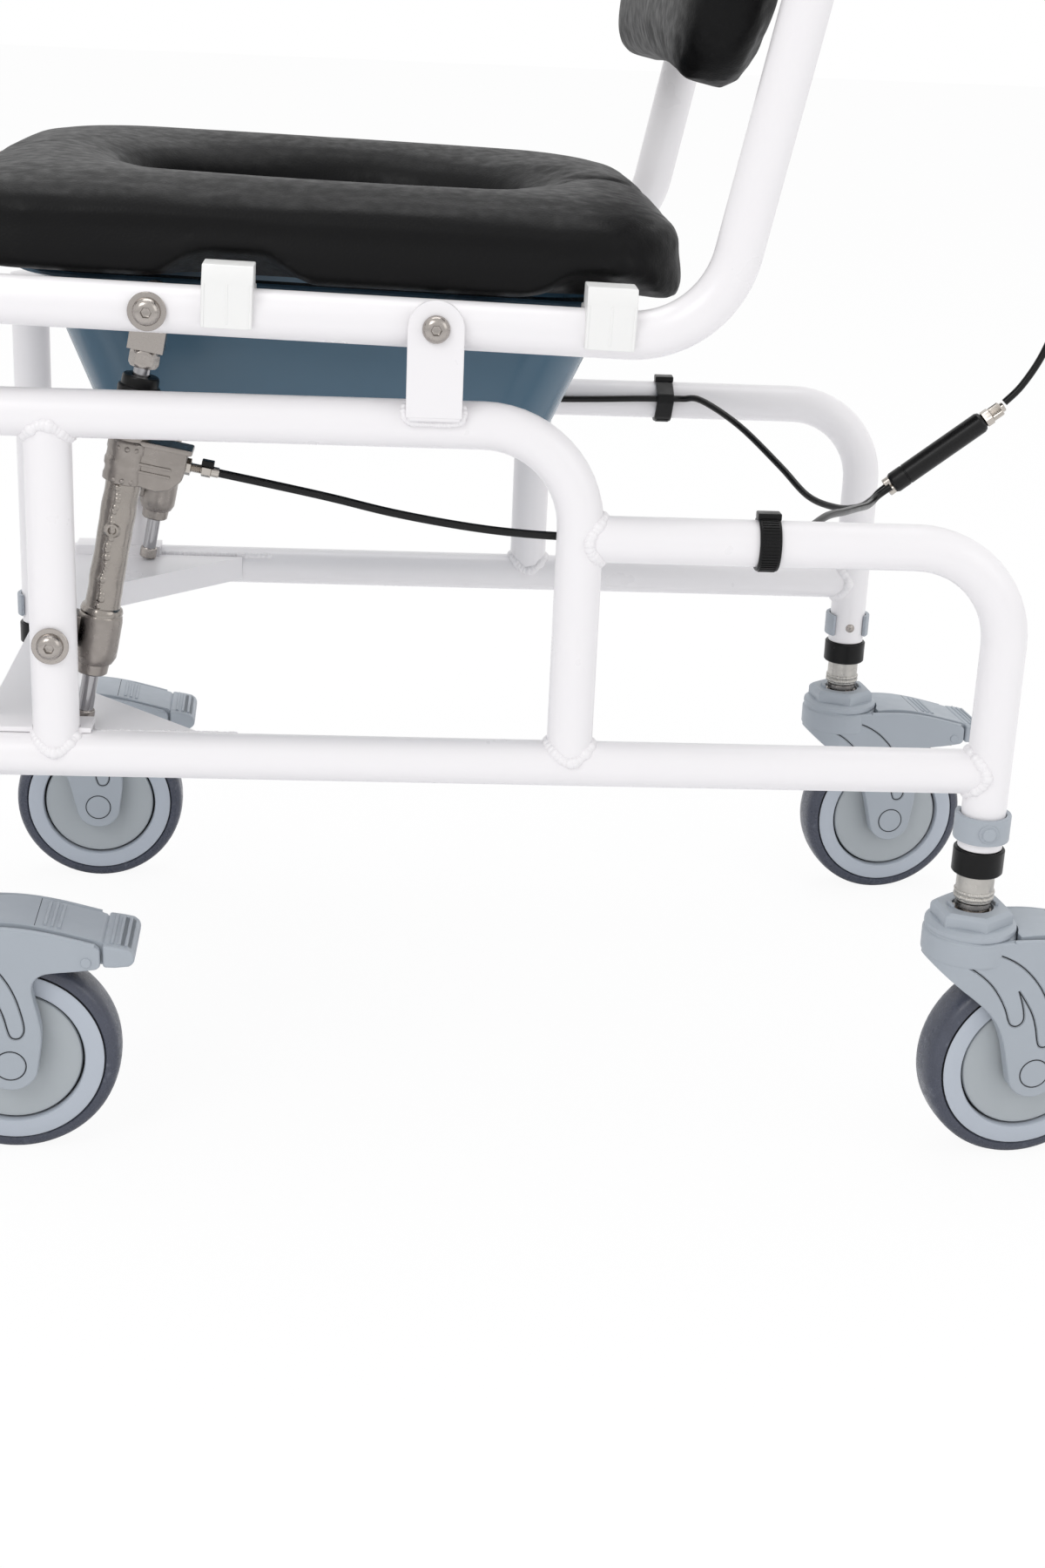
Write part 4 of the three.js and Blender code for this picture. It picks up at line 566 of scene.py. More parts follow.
def piece(name, mesh, finishes, body, node, slot, place=Matrix(), smooth_deg=38.0):
    """Hands a finished mesh over: finishes on it, riding a body, in place of a CAD node."""
    moved(mesh, place)
    mesh.name = name
    mesh.shade_smooth()
    mesh.set_sharp_from_angle(angle=math.radians(smooth_deg))
    marks = [face.material_index for face in mesh.polygons]
    mesh.materials.clear()
    for finish in finishes:
        mesh.materials.append(finish_of(finish))
    mesh.polygons.foreach_set("material_index", marks)
    made = new_object(name, mesh)
    made.modifiers.new("Even normals", "WEIGHTED_NORMAL").keep_sharp = True
    settled = evaluated(made)
    made.modifiers.clear()
    made.data = settled
    settled.name = name
    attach(made, body)
    if node:
        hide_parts(node)
    return made


# Geometry Nodes trees


SOCKETS = {float: "NodeSocketFloat", int: "NodeSocketInt", tuple: "NodeSocketVector"}


def new_tree(name, inputs):
    """A tree that takes a line of points and a finish, with the inputs named and set here."""
    tree = bpy.data.node_groups.new(name, "GeometryNodeTree")
    for way in ("INPUT", "OUTPUT"):
        tree.interface.new_socket("Geometry", in_out=way, socket_type="NodeSocketGeometry")
    for label, default in inputs.items():
        socket = tree.interface.new_socket(label, in_out="INPUT",
                                           socket_type=SOCKETS[type(default)])
        socket.default_value = default
    tree.interface.new_socket("Finish", in_out="INPUT", socket_type="NodeSocketMaterial")
    given = add_node(tree, "NodeGroupInput").outputs
    line = add_node(tree, "GeometryNodeMeshToCurve", {"Mesh": given["Geometry"]})
    return tree, given, line.outputs["Curve"]


def end_tree(tree, geometry, finish):
    real = add_node(tree, "GeometryNodeRealizeInstances", {"Geometry": geometry})
    smooth = add_node(tree, "GeometryNodeSetShadeSmooth", {"Geometry": real.outputs["Geometry"]})
    dressed = add_node(tree, "GeometryNodeSetMaterial", {
        "Geometry": smooth.outputs["Geometry"], "Material": finish})
    add_node(tree, "NodeGroupOutput", {"Geometry": dressed.outputs["Geometry"]})
    return tree


def bent_tube_tree():
    """A line with its corners bent round a former, swept by a round section."""
    tree, given, line = new_tree("Bent tube", {
        "Radius": 14.0, "Bend radius": 60.0, "Bend steps": 14, "Sides": 32})
    bent = add_node(tree, "GeometryNodeFilletCurve", {
        "Curve": line, "Count": given["Bend steps"], "Radius": given["Bend radius"]},
        mode="POLY")
    section = add_node(tree, "GeometryNodeCurvePrimitiveCircle", {
        "Resolution": given["Sides"], "Radius": given["Radius"]})
    swept = add_node(tree, "GeometryNodeCurveToMesh", {
        "Curve": bent.outputs["Curve"], "Profile Curve": section.outputs["Curve"],
        "Fill Caps": True})
    return end_tree(tree, swept.outputs["Mesh"], given["Finish"])


def beads_tree():
    """Overlapping round ripples laid along a line, of slightly uneven size."""
    tree, given, line = new_tree("Bead row", {
        "Bead radius": 3.0, "Step": 2.4, "Unevenness": 0.16, "Seed": 4})
    spots = add_node(tree, "GeometryNodeResampleCurve", {"Curve": line, "Length": given["Step"]},
                     mode="LENGTH")
    bead = add_node(tree, "GeometryNodeMeshIcoSphere", {
        "Radius": given["Bead radius"], "Subdivisions": 2})
    least, most = [
        add_node(tree, "ShaderNodeMath", {0: 1.0, 1: given["Unevenness"]}, operation=way)
        for way in ("SUBTRACT", "ADD")
    ]
    size = add_node(tree, "FunctionNodeRandomValue", {
        "Seed": given["Seed"], 2: least.outputs[0], 3: most.outputs[0]}, data_type="FLOAT")
    laid = add_node(tree, "GeometryNodeInstanceOnPoints", {
        "Points": spots.outputs["Curve"], "Instance": bead.outputs["Mesh"],
        "Scale": size.outputs[1]})
    return end_tree(tree, laid.outputs["Instances"], given["Finish"])


def rib_row_tree():
    """Round-topped ribs side by side, as wide as the line that each stands on."""
    tree, given, line = new_tree("Rib row", {
        "Rib radius": 1.0, "Count": 3, "Pitch": (4.0, 0.0, 0.0)})
    section = add_node(tree, "GeometryNodeCurvePrimitiveCircle", {
        "Resolution": 12, "Radius": given["Rib radius"]})
    rib = add_node(tree, "GeometryNodeCurveToMesh", {
        "Curve": line, "Profile Curve": section.outputs["Curve"], "Fill Caps": True})
    row = add_node(tree, "GeometryNodeMeshLine", {
        "Count": given["Count"], "Offset": given["Pitch"]}, mode="OFFSET")
    laid = add_node(tree, "GeometryNodeInstanceOnPoints", {
        "Points": row.outputs["Mesh"], "Instance": rib.outputs["Mesh"]})
    return end_tree(tree, laid.outputs["Instances"], given["Finish"])


def grown(tree_name, tree_maker, lines, closed=False, **values):
    """The plain mesh that a tree makes from lines of points."""
    tree = bpy.data.node_groups.get(tree_name) or tree_maker()
    points, edges = [], []
    for line in lines:
        start = len(points)
        points += [Vector(p) for p in line]
        edges += [(start + i, start + i + 1) for i in range(len(line) - 1)]
        if closed:
            edges.append((start + len(line) - 1, start))
    path = bpy.data.meshes.new("path")
    path.from_pydata(points, edges, [])
    holder = new_object("path", path)
    step = holder.modifiers.new("grow", "NODES")
    step.node_group = tree
    for item in tree.interface.items_tree:
        if item.in_out == "INPUT" and item.name in values:
            step[item.identifier] = values[item.name]
    made = evaluated(holder)
    bpy.data.objects.remove(holder)
    bpy.data.meshes.remove(path)
    return made


def tubes(lines, radius=TUBE_R, bend=BEND_R, sides=None, steps=14, finish="gloss_powder_coat"):
    return grown("Bent tube", bent_tube_tree, lines, **{
        "Radius": radius, "Bend radius": bend, "Bend steps": steps,
        "Sides": sides or sizes().tube_sides, "Finish": finish_of(finish),
    })


def beads(lines, closed=True, radius=None, step=None, seed=4, finish="gloss_powder_coat"):
    return grown("Bead row", beads_tree, lines, closed, **{
        "Bead radius": radius or sizes().weld_radius / MM,
        "Step": step or sizes().weld_step / MM, "Seed": seed, "Finish": finish_of(finish),
    })


def rib_row(line, radius, count, pitch):
    return grown("Rib row", rib_row_tree, [line], **{
        "Rib radius": radius, "Count": count, "Pitch": pitch, "Finish": finish_of("grey_nylon"),
    })


def saddle(place, branch, main, radius=TUBE_R):
    """The line where a round branch meets a frame tube, for its weld."""
    b, a = Vector(branch).normalized(), Vector(main).normalized()
    side, steps = a.cross(b), 40
    reach = min(radius, TUBE_R * 0.985)
    line = []
    for i in range(steps):
        turn = 2 * math.pi * i / steps
        out = reach * math.sin(turn)
        height = math.sqrt(TUBE_R**2 - out**2)
        line.append(Vector(place) + b * height + a * reach * math.cos(turn) + side * out)
    near = range(-3, 4)
    return [sum((line[(i + k) % steps] for k in near), Vector()) / len(near) for i in range(steps)]


def ring_line(place, way, radius):
    """A round line about a way."""
    turn = along(place, Vector(place) + Vector(way))
    return [turn @ p for p in circle(radius, 0, 32)]


# Fasteners


def button_head(radius=8.0, height=5.0):
    """A button head with a hexagon socket, its bearing face at zero and its dome upwards."""
    socket = radius * 0.36
    dome = [(0.97, 0.0), (1, 0.4 / height), (0.985, 1.3 / height), (0.93, 0.5), (0.82, 0.74),
            (0.66, 0.93), (0.5, 1)]
    return loft([
        *[circle(radius * r, height * z) for r, z in dome],
        hexagon(socket * 1.12, height * 0.99), hexagon(socket, height * 0.9),
        hexagon(socket, height * 0.42), circle(socket * 0.5, height * 0.3),
    ])


def sleeve(inner, outer, low, high, edge, drop=None, sides=48):
    """A short tube about Z whose outer edges are cut off by this much inwards and along."""
    drop = drop or edge
    return ring_turned([(inner, low), (outer - edge, low), (outer, low + drop),
                        (outer, high - drop), (outer - edge, high), (inner, high)], sides)


def plain_washer(outer, inner, height):
    return sleeve(inner, outer, 0, height, 0.35)


def hex_nut(corner, height, bore):
    """A hexagon nut with turned chamfers, from zero upwards."""
    chamfer = height * 0.12
    return loft([
        circle(bore, 0.4), circle(bore + 0.6, 0), circle(corner * 0.86, 0),
        hexagon(corner, chamfer, round_share=0.35),
        hexagon(corner, chamfer * 2, round_share=0.06),
        hexagon(corner, height - chamfer * 2, round_share=0.06),
        hexagon(corner, height - chamfer, round_share=0.35),
        circle(corner * 0.86, height), circle(bore + 0.6, height), circle(bore, height - 0.4),
    ], around=True)


def facing(x, z, out, at):
    """A frame at one side of the chair whose Z looks outwards."""
    return Matrix.Translation((x, out * at, z)) @ Matrix.Rotation(-out * math.pi / 2, 4, "X")


def bolt(x, z, out, shank, head_at, nut_at, nut_corner, washer=None, extras=()):
    """A button-head bolt from outside, with an optional washer, and its nut inside."""
    nut_height, washer_height = 7.0, 2.0
    rest = head_at + (washer_height if washer else 0.0)
    parts = [
        moved(button_head(), facing(x, z, out, rest)),
        moved(turned([(shank, nut_at - head_at - nut_height * 0.6), (shank, 1.0)]),
              facing(x, z, out, head_at)),
        moved(hex_nut(nut_corner, nut_height, shank), facing(x, z, out, nut_at - nut_height)),
    ]
    if washer:
        parts.append(moved(plain_washer(washer, shank, washer_height), facing(x, z, out, head_at)))
    return joined([*parts, *extras])


# Base


def base_side_welds(out):
    """Saddles of every tube joint of one base side."""
    up, back, down, ahead = (0, 0, 1), (1, 0, 0), (0, 0, -1), (-1, 0, 0)
    return beads([
        saddle((x, out * FRAME_HALF, z), branch, main) for x, z, branch, main in (
            (POST_X, LOWER_Z, up, back), (POST_X, UPPER_Z, down, back),
            (UPRIGHT_X, LOWER_Z, up, back), (UPRIGHT_X, MID_Z, back, up),
            (0, LOWER_Z, ahead, up), (FRONT_X, LOWER_Z, back, up), (FRONT_X, UPPER_Z, back, up),
        )
    ])


def pivot_bracket(out):
    """The flat ear that carries the tilt pivot, welded to the upper rail."""
    half, foot = 16.2, 481.0 - PIVOT_Z
    ear = prism([(-half, foot), (half, foot), *arc((0, 0), half, 0, 180, 24)], 0.0, 5.0, 0.8, 2)
    ear = carve(ear, turned([(5.5, -4), (5.5, 9)]))
    inner = FRAME_HALF + TUBE_R + 1.0
    side = Matrix(((1, 0, 0, 0), (0, -out, 0, 0), (0, 0, 1, 0), (0, 0, 0, 1)))
    ear = moved(ear, facing(PIVOT_X, PIVOT_Z, out, inner) @ side)
    low, high = UPPER_Z + 4.5, UPPER_Z + 10.5
    root = block((PIVOT_X - half + 0.6, FRAME_HALF + TUBE_R * 0.5, low),
                 (PIVOT_X + half - 0.6, inner + 4.4, high), 2.2, 4)
    if out < 0:
        root = moved(root, Matrix.Scale(-1, 4, (0, 1, 0)))
    face, top = out * (FRAME_HALF + TUBE_R + 0.8), out * (FRAME_HALF + 11.4)
    edge = [
        (PIVOT_X - half - 0.6, top, high + 1.0), (PIVOT_X - half - 0.8, face, low + 3.0),
        (PIVOT_X - half + 4.0, face, low - 1.0), (PIVOT_X + half - 4.0, face, low - 1.0),
        (PIVOT_X + half + 0.8, face, low + 3.0), (PIVOT_X + half + 0.6, top, high + 1.0),
    ]
    return joined([ear, root, beads([smooth_line(edge)], closed=False, radius=2.2, step=1.5)])


def leg_mouth(x, y):
    """The open end of a leg, with its wall."""
    wall = 2.0
    return shifted(ring_turned([
        (TUBE_R, LEG_END_Z + 12.0), (TUBE_R, LEG_END_Z + 0.5), (TUBE_R - 0.5, LEG_END_Z),
        (TUBE_R - wall, LEG_END_Z), (TUBE_R - wall, LEG_END_Z + 12.0),
    ]), x, y)


def base_side(out):
    """One welded side frame of the base."""
    y, foot = out * FRAME_HALF, LEG_END_Z + 11.0
    runs = [[(x, y, z) for x, z in line] for line in (
        [(FRONT_X, LOWER_Z), (0, LOWER_Z)],
        [(UPRIGHT_X, MID_Z), (0, MID_Z), (0, foot)],
        [(FRONT_X, UPPER_Z), (UPRIGHT_X, UPPER_Z), (UPRIGHT_X, LOWER_Z)],
        [(FRONT_X, UPPER_Z + TUBE_R), (FRONT_X, foot)],
        [(POST_X, UPPER_Z), (POST_X, LOWER_Z)],
    )]
    cap = shifted(turned([
        (TUBE_R - 0.4, 0), (TUBE_R, 0.4), (TUBE_R - 0.2, 1.6), (TUBE_R * 0.8, 2.2), (0, 2.4),
    ]), FRONT_X, y, UPPER_Z + TUBE_R - 0.2)
    return joined([
        tubes(runs), base_side_welds(out), pivot_bracket(out), cap,
        leg_mouth(0, y), leg_mouth(FRONT_X, y),
    ])


def cross_plate_welds():
    """Welds where the front cross plate meets the lower rails."""
    rise = 10.0
    side = FRAME_HALF - math.sqrt(TUBE_R**2 - rise**2) - 0.4
    lines = [[(x, out * side, LOWER_Z + 10.3) for x in range(-618, -466, 6)] for out in OUTS]
    return beads(lines, closed=False, radius=2.0, step=1.6)


class CHAIR_OT_base(bpy.types.Operator):
    """Builds the two welded base sides and the front cross plate's finish"""

    bl_idname = "chair.base"
    bl_label = "Base frame"

    def execute(self, context):
        white = ["gloss_powder_coat"]
        for name, out in SIDES.items():
            piece(f"{name}_side_frame", base_side(out), white, "base", f"{name}_base_side",
                  "white_paint", CHAIR)
        dress("front_cross_plate", "gloss_powder_coat")
        piece("cross_plate_welds", cross_plate_welds(), white, "base", None, "white_paint", CHAIR)
        return {"FINISHED"}


def dress(node, finish):
    """Gives a CAD node that keeps its shape its finish."""
    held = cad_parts[node]
    held.data.materials.clear()
    held.data.materials.append(finish_of(finish))


class CHAIR_OT_pivot_bolts(bpy.types.Operator):
    """Builds the tilt pivot bolts and the struts' lower and upper bolts"""

    bl_idname = "chair.pivot_bolts"
    bl_label = "Pivot and strut bolts"

    def execute(self, context):
        steel = "stainless_steel"
        inside, outside = FRAME_HALF - TUBE_R - GAP, FRAME_HALF + TUBE_R + GAP
        lug_back = STRUT_Y - LUG_HALF - GAP
        for name, out in SIDES.items():
            made = bolt(PIVOT_X, PIVOT_Z, out, shank=5.0, head_at=EAR_FACE, nut_at=inside,
                        nut_corner=9.0)
            piece(f"{name}_tilt_pivot_bolt", made, [steel], "base", f"{name}_pivot_bolt",
                  "steel", CHAIR)
            spacer = moved(turned([(11.4, 0), (12, 0.6), (12, 4.2), (11.4, 4.8)]),
                           facing(POST_X, STRUT_BOLT_Z, out, STRUT_Y + LUG_HALF + GAP))
            low_bolt = bolt(POST_X, STRUT_BOLT_Z, out, shank=4.0, head_at=outside,
                            nut_at=lug_back, nut_corner=8.0, washer=11.0)
            piece(f"{name}_lower_strut_bolt", joined([(low_bolt, 0), (spacer, 1)]),
                  [steel, "black_plastic"], "base", f"{name}_strut_bolt", "steel", CHAIR)
            extras = [
                moved(turned([(6.2, 0), (6.2, 7.2)]),
                      facing(STRUT_TOP_BACK, 0, out, STRUT_Y - 3.6)),
                moved(plain_washer(10.0, 4.0, 2.0), facing(STRUT_TOP_BACK, 0, out, lug_back - 2.0)),
            ]
            made = bolt(STRUT_TOP_BACK, 0, out, shank=4.0, head_at=outside,
                        nut_at=lug_back - 1.0, nut_corner=8.0, washer=11.0, extras=extras)
            piece(f"{name}_upper_strut_bolt", made, [steel], "seat", f"{name}_strut_top_bolt",
                  "steel", SEAT)
        return {"FINISHED"}


# Castors


def leg_bush():
    """The black ring that closes the leg's end."""
    top = LEG_END_Z - GAP
    return sleeve(12.5, 16.2, top - 16.5, top, 0.8, 0.9)


def leg_collar(out):
    """A collar open towards the middle of the chair, with a round button outside."""
    inner, outer, low, high = 14.5, 17.6, 222.0, 239.0
    middle = 90.0 * out
    half = 180.0 - 48.0
    outline = arc((0, 0), outer, middle - half, middle + half, 40)
    outline += arc((0, 0), inner, middle + half, middle - half, 40)
    collar = prism(outline, low, high, 0.7, 2)
    button = turned([(6.3, 15.2), (6.3, 17.4), (6, 17.9), (4.6, 18), (4.3, 18.3), (4.2, 19.2),
                     (3.7, 19.7), (2.2, 19.8)])
    return joined([collar, moved(button, facing(0, (low + high) / 2, out, 0))])


def height_pin(out):
    """The steel spring pin that shows through the leg on the collar's open side."""
    head = turned([(2.6, 13), (2.6, 14.4), (1.8, 15), (0.8, 15.2)])
    rim = ring_turned([(2.8, 13), (3.5, 13), (3.5, 14.1), (2.8, 14.3)])
    return moved(joined([head, rim]), facing(0, 229.5, -out, 0))


def castor_stem():
    """The zinc-plated stem: plain tube, rough weld at its foot, and the bright nut below it."""
    tube = turned([(11.6, 180.2), (12, 181.2), (12, 257.4), (11.4, 258)])
    weld = beads([ring_line((0, 0, z), (0, 0, 1), 11.2) for z in (183, 186.2)],
                 radius=1.7, step=1.5, seed=3, finish="galvanised_tube")
    foot = turned([
        (8.5, 153), (8.5, 172.6), (12.2, 172.6), (12.2, 174.4), (9.8, 174.6), (9.8, 175.6),
        (11.4, 176), (11.4, 179.4), (9, 180), (9, 182),
    ])
    return joined([(tube, 0), (weld, 0), (foot, 1)])


# The fork's side outline, from the swivel axis and the floor: front, rear of the cheek, top.
FORK_FRONT = [
    (-30, 161), (-30, 143), (-26, 139.5), (-19.3, 133.9), (-3.7, 121.6), (8.7, 110.2),
    (16.4, 98.9), (21.4, 86),
]
FORK_REAR = [
    (63.2, 79), (63.6, 90), (61.6, 102), (59.6, 111), (58.6, 118), (60, 124),
    (64.8, 128.2), (72, 129.9), (86.3, 131.1), (98.6, 132.6),
]
FORK_TOP = [
    (101, 134.6), (101, 145.6), (97.6, 148.4), (84.6, 151.9), (71.8, 155.2), (57.9, 157.9),
    (47.2, 159.2), (36.5, 159.7), (20, 160), (0, 160.6), (-16, 161),
]
FOOT_R = 17.4
# The raised band on each cheek: over its top, down the rear finger, up to the cleft, round the
# front finger and back to the head.
BAND_GROOVE = [
    (-27, 159), (-12, 156.4), (3, 153.8), (15, 150), (26.5, 143.2), (36.5, 133.6),
    (43.8, 123.4), (48.6, 113), (51.6, 102.6), (53.2, 94.4), (53, 89.4), (51, 86),
    (48, 84.9), (45, 86), (43.2, 90.2), (41, 99.6), (37.4, 109.4), (31.8, 118.6),
    (26.2, 126.4),
]
CLEFT_GROOVE = [
    (26.2, 126.4), (28.2, 121.6), (30.6, 114.4), (32, 107.4), (31, 103.4), (27.6, 101.2),
    (23.8, 102.2), (21.4, 105.8), (18.4, 113.8), (13.3, 123), (6.1, 132.4), (-4.4, 141.2),
    (-16, 147.4), (-27, 150.4),
]
FORK_HALF = 28.0
HEAD_ROUND_R = FORK_HALF + 0.7
CHEEK_WALL = 9.0
WHEEL_ROOM_R = 71.5
PEDAL_POCKET = [
    (17.9, 144), (39, 141.6), (54, 140.9), (69, 137.4), (80.5, 132), (112, 110),
    (112, 172), (17.9, 172),
]


def fork_shell():
    """The moulded fork: its side outline, a round front, room for wheel and pedal, grooves."""
    foot = arc((TRAIL, AXLE_Z), FOOT_R, 200, 340, 14)
    outline = [*smooth_line(FORK_FRONT[1:], 3), *foot, *smooth_line(FORK_REAR, 3),
               *FORK_TOP, FORK_FRONT[0]]
    sides = upright(outline, -FORK_HALF, FORK_HALF, 2.0, 3)
    round_front = prism([*arc((0, 0), HEAD_ROUND_R, 90, 270, 28), (120, -HEAD_ROUND_R),
                         (120, HEAD_ROUND_R)], 20, 180)
    shell = carve(sides, round_front, "INTERSECT")
    room = arc((TRAIL, AXLE_Z), WHEEL_ROOM_R, 170, 10, 28)
    room += [(TRAIL + 90, 30.0), (TRAIL - 90, 30.0)]
    inner = FORK_HALF - CHEEK_WALL
    shell = carve(shell, upright(room, -inner, inner))
    pocket = inner + 4.2
    shell = carve(shell, upright(PEDAL_POCKET, -pocket, pocket))
    for line in groove_lines(0.2):
        shell = carve(shell, tubes([line], sizes().groove_radius / MM, 0.0, 8, 1))
    return shell


def groove_lines(rise):
    """The grooves of both cheeks, this far outside the fork's skin."""
    return [
        [(x, out * ((math.sqrt(HEAD_ROUND_R**2 - x * x) - 0.7 if x < -6 else FORK_HALF) + rise), z)
         for x, z in smooth_line(groove, 4)]
        for out in OUTS for groove in (BAND_GROOVE, CLEFT_GROOVE)
    ]


def fork_details():
    """Axle caps, pin bosses and the raised rims along the cheeks' tops, with painted shade in a
    ring round each cap and along the bottom of the grooves.
    """
    parts = []
    for out in OUTS:
        cap = turned([(9.3, -1), (9.3, 0.2), (8.9, 0.7), (0, 0.8)])
        parts.append(moved(cap, facing(TRAIL, AXLE_Z, out, FORK_HALF)))
        # A dark ring round the cap: painted shade in the gap between cap and cheek.
        seam = ring_turned([(9.5, -0.4), (10.2, -0.4), (10.2, 0.12), (9.5, 0.12)])
        parts.append((moved(seam, facing(TRAIL, AXLE_Z, out, FORK_HALF)), 1))
        boss = turned([(3.2, -1), (3.2, 0.5), (2.8, 0.9), (0, 0.9)], 24)
        parts.append(moved(boss, facing(TRAIL + 48.4, 137.6, out, FORK_HALF)))
        rim = [(x, out * (FORK_HALF - 1.6), z - 0.2)
               for x, z in reversed(smooth_line(FORK_TOP[2:9], 3))]
        parts.append(tubes([rim], 1.5, 0.0, 10, 1))
    # Thin dark lines sunk in the grooves: painted shade along their bottoms.
    parts.append((tubes(groove_lines(-0.62), 0.34, 0.0, 6, 1), 1))
    return joined([p if isinstance(p, tuple) else (p, 0) for p in parts])


def fork_head():
    """The swivel head: stepped flange, hexagon and the raised keys beside the stem."""
    body = turned([
        (20, 141), (28.8, 143.4), (29.8, 145), (29.9, 158), (28.8, 159.6), (27.6, 160.2),
        (28.8, 161), (29.3, 162.4), (29.1, 164.6), (27, 166.4), (25, 167.2), (0, 167.3),
    ], 64)
    hexes = loft([
        hexagon(26.0, 165.0, 72, 0.06, math.pi / 6),
        hexagon(26.5, 166.6, 72, 0.05, math.pi / 6),
        hexagon(26.5, 172.6, 72, 0.05, math.pi / 6),
        hexagon(25.6, 174.2, 72, 0.08, math.pi / 6),
        hexagon(23.4, 176.0, 72, 0.12, math.pi / 6),
        circle(14.2, 176.0, 72),
        circle(13.4, 175.4, 72),
        circle(13.0, 170.0, 72),
        circle(8.8, 169.6, 72),
    ])
    keys = [block((s * 14.9 - 1.2, -4.4, 175.4), (s * 14.9 + 1.2, 4.4, 178.2), 0.7, 2)
            for s in OUTS]
    return joined([body, hexes, *keys])


def fork_pins():
    axle = shifted(turned([(5, -27), (5, 27)]), TRAIL, AXLE_Z)
    pin = shifted(turned([(2.5, -26), (2.5, 26)]), TRAIL + 47.0, 140.7)
    return moved(joined([axle, pin]), SIDEWAYS)


def fork():
    return joined([(fork_shell(), 0), fork_details(), (fork_head(), 0), (fork_pins(), 2)])


def wheel():
    """Disc, ring and tyre, turned in one profile, with painted shade in the gap between disc and
    ring and in the step between ring and tyre.
    """
    # Points with finish 2 carry the painted shade of the gaps.
    half = [
        (5.5, 13.4, 0), (14, 14, 0), (30, 14.6, 0), (40.6, 14.2, 0), (42.6, 13.6, 0),
        (43.3, 12.6, 2), (43.5, 9.5, 2), (44.7, 9.5, 1), (44.9, 15, 1), (45.7, 16, 1),
        (51, 16.3, 1), (56.3, 16, 1), (57.1, 15.3, 2), (57.3, 14.2, 2), (57.9, 14.4, 3),
        (58.5, 15.2, 3), (60.6, 15.1, 3), (63, 14.2, 3), (65, 12.4, 3), (66.2, 9.8, 3),
        (66.7, 6, 3), (66.9, 2, 3),
    ]
    whole = half + [(r, -y, t) for r, y, t in reversed(half)]
    # A strip has the finish of its end nearer the axle.
    edge = len(half) - 1
    tints = [t for _, _, t in whole[:edge]] + [3] + [t for _, _, t in whole[edge + 2:]] + [0]
    made = ring_turned([(r, y) for r, y, _ in whole], 96, tints)
    return moved(made, across((TRAIL, 0, AXLE_Z), "X"))


PEDAL_TOP = [
    (26, 161.6), (40, 162.2), (52, 161.3), (62, 159.6), (74, 156.6), (87.2, 153.2),
    (99.4, 150),
]
PEDAL_NOTCH = [(101.6, 149.3), (102.6, 147.6), (103.6, 149)]
PEDAL_END = [(112, 147.2), (118, 145.8), (121.2, 143.4), (122.4, 139.6), (121.4, 136.2)]
PEDAL_UNDER = [
    (118.4, 134.2), (110, 133.4), (101.4, 133.8), (96, 135), (86, 137), (74, 143.4),
    (54, 148.4), (38, 151), (26, 151.6),
]
PEDAL_PLATE_HALF = 22.0
PEDAL_END_HALF = 27.0
PEDAL_END_FROM = 102.6
RIB_PITCH = 4.3
RIB_R = 1.15
HEAD_ROOM_R = 30.6


def height_on(line, x):
    """The height of an outline at a place along it."""
    for (x0, z0), (x1, z1) in zip(line, line[1:]):
        if x0 <= x <= x1:
            return z0 + (z1 - z0) * (x - x0) / (x1 - x0)
    raise ValueError("the place isn't on the outline")


def pedal():
    """The brake pedal: crowned top, two groups of ribs and the cream block under its pin."""
    core = prism([*smooth_line(PEDAL_TOP, 3), *PEDAL_NOTCH, *PEDAL_END, *PEDAL_UNDER],
                 -PEDAL_PLATE_HALF, PEDAL_PLATE_HALF, 0.9, 2)
    under = [p for p in PEDAL_UNDER if p[0] > PEDAL_END_FROM]
    wide = prism([(PEDAL_END_FROM, 148.6), *PEDAL_END, *under, (PEDAL_END_FROM, 133.6)],
                 -PEDAL_END_HALF, PEDAL_END_HALF, 2.4, 4)
    body = moved(joined([core, wide]), SIDEWAYS)
    body = carve(body, turned([(HEAD_ROOM_R, 120.0), (HEAD_ROOM_R, 180.0)]))
    line = [*PEDAL_TOP, *PEDAL_END]
    groups = []
    for start, half in ((66.8, 18), (108, 22)):
        top, low = height_on(line, start), height_on(line, start + 2 * RIB_PITCH)
        groups.append((rib_row([(start, -half, top), (start, half, top)], RIB_R, 3,
                               (RIB_PITCH, 0.0, (low - top) / 2)), 0))
    # A thin dark line across the pedal's top: painted shade in a seam.
    seam = tubes([[(61, -21, 159.55), (61, 21, 159.55)]], 0.35, 0.0, 6, 1)
    rubber = upright([(86.4, 139), (99.4, 139), (99, 129.4), (96.2, 126.2), (93.6, 127.2),
                      (87, 131.6)], -15.0, 15.0, 1.0, 2)
    return joined([(body, 0), *groups, (rubber, 1), (seam, 2)])


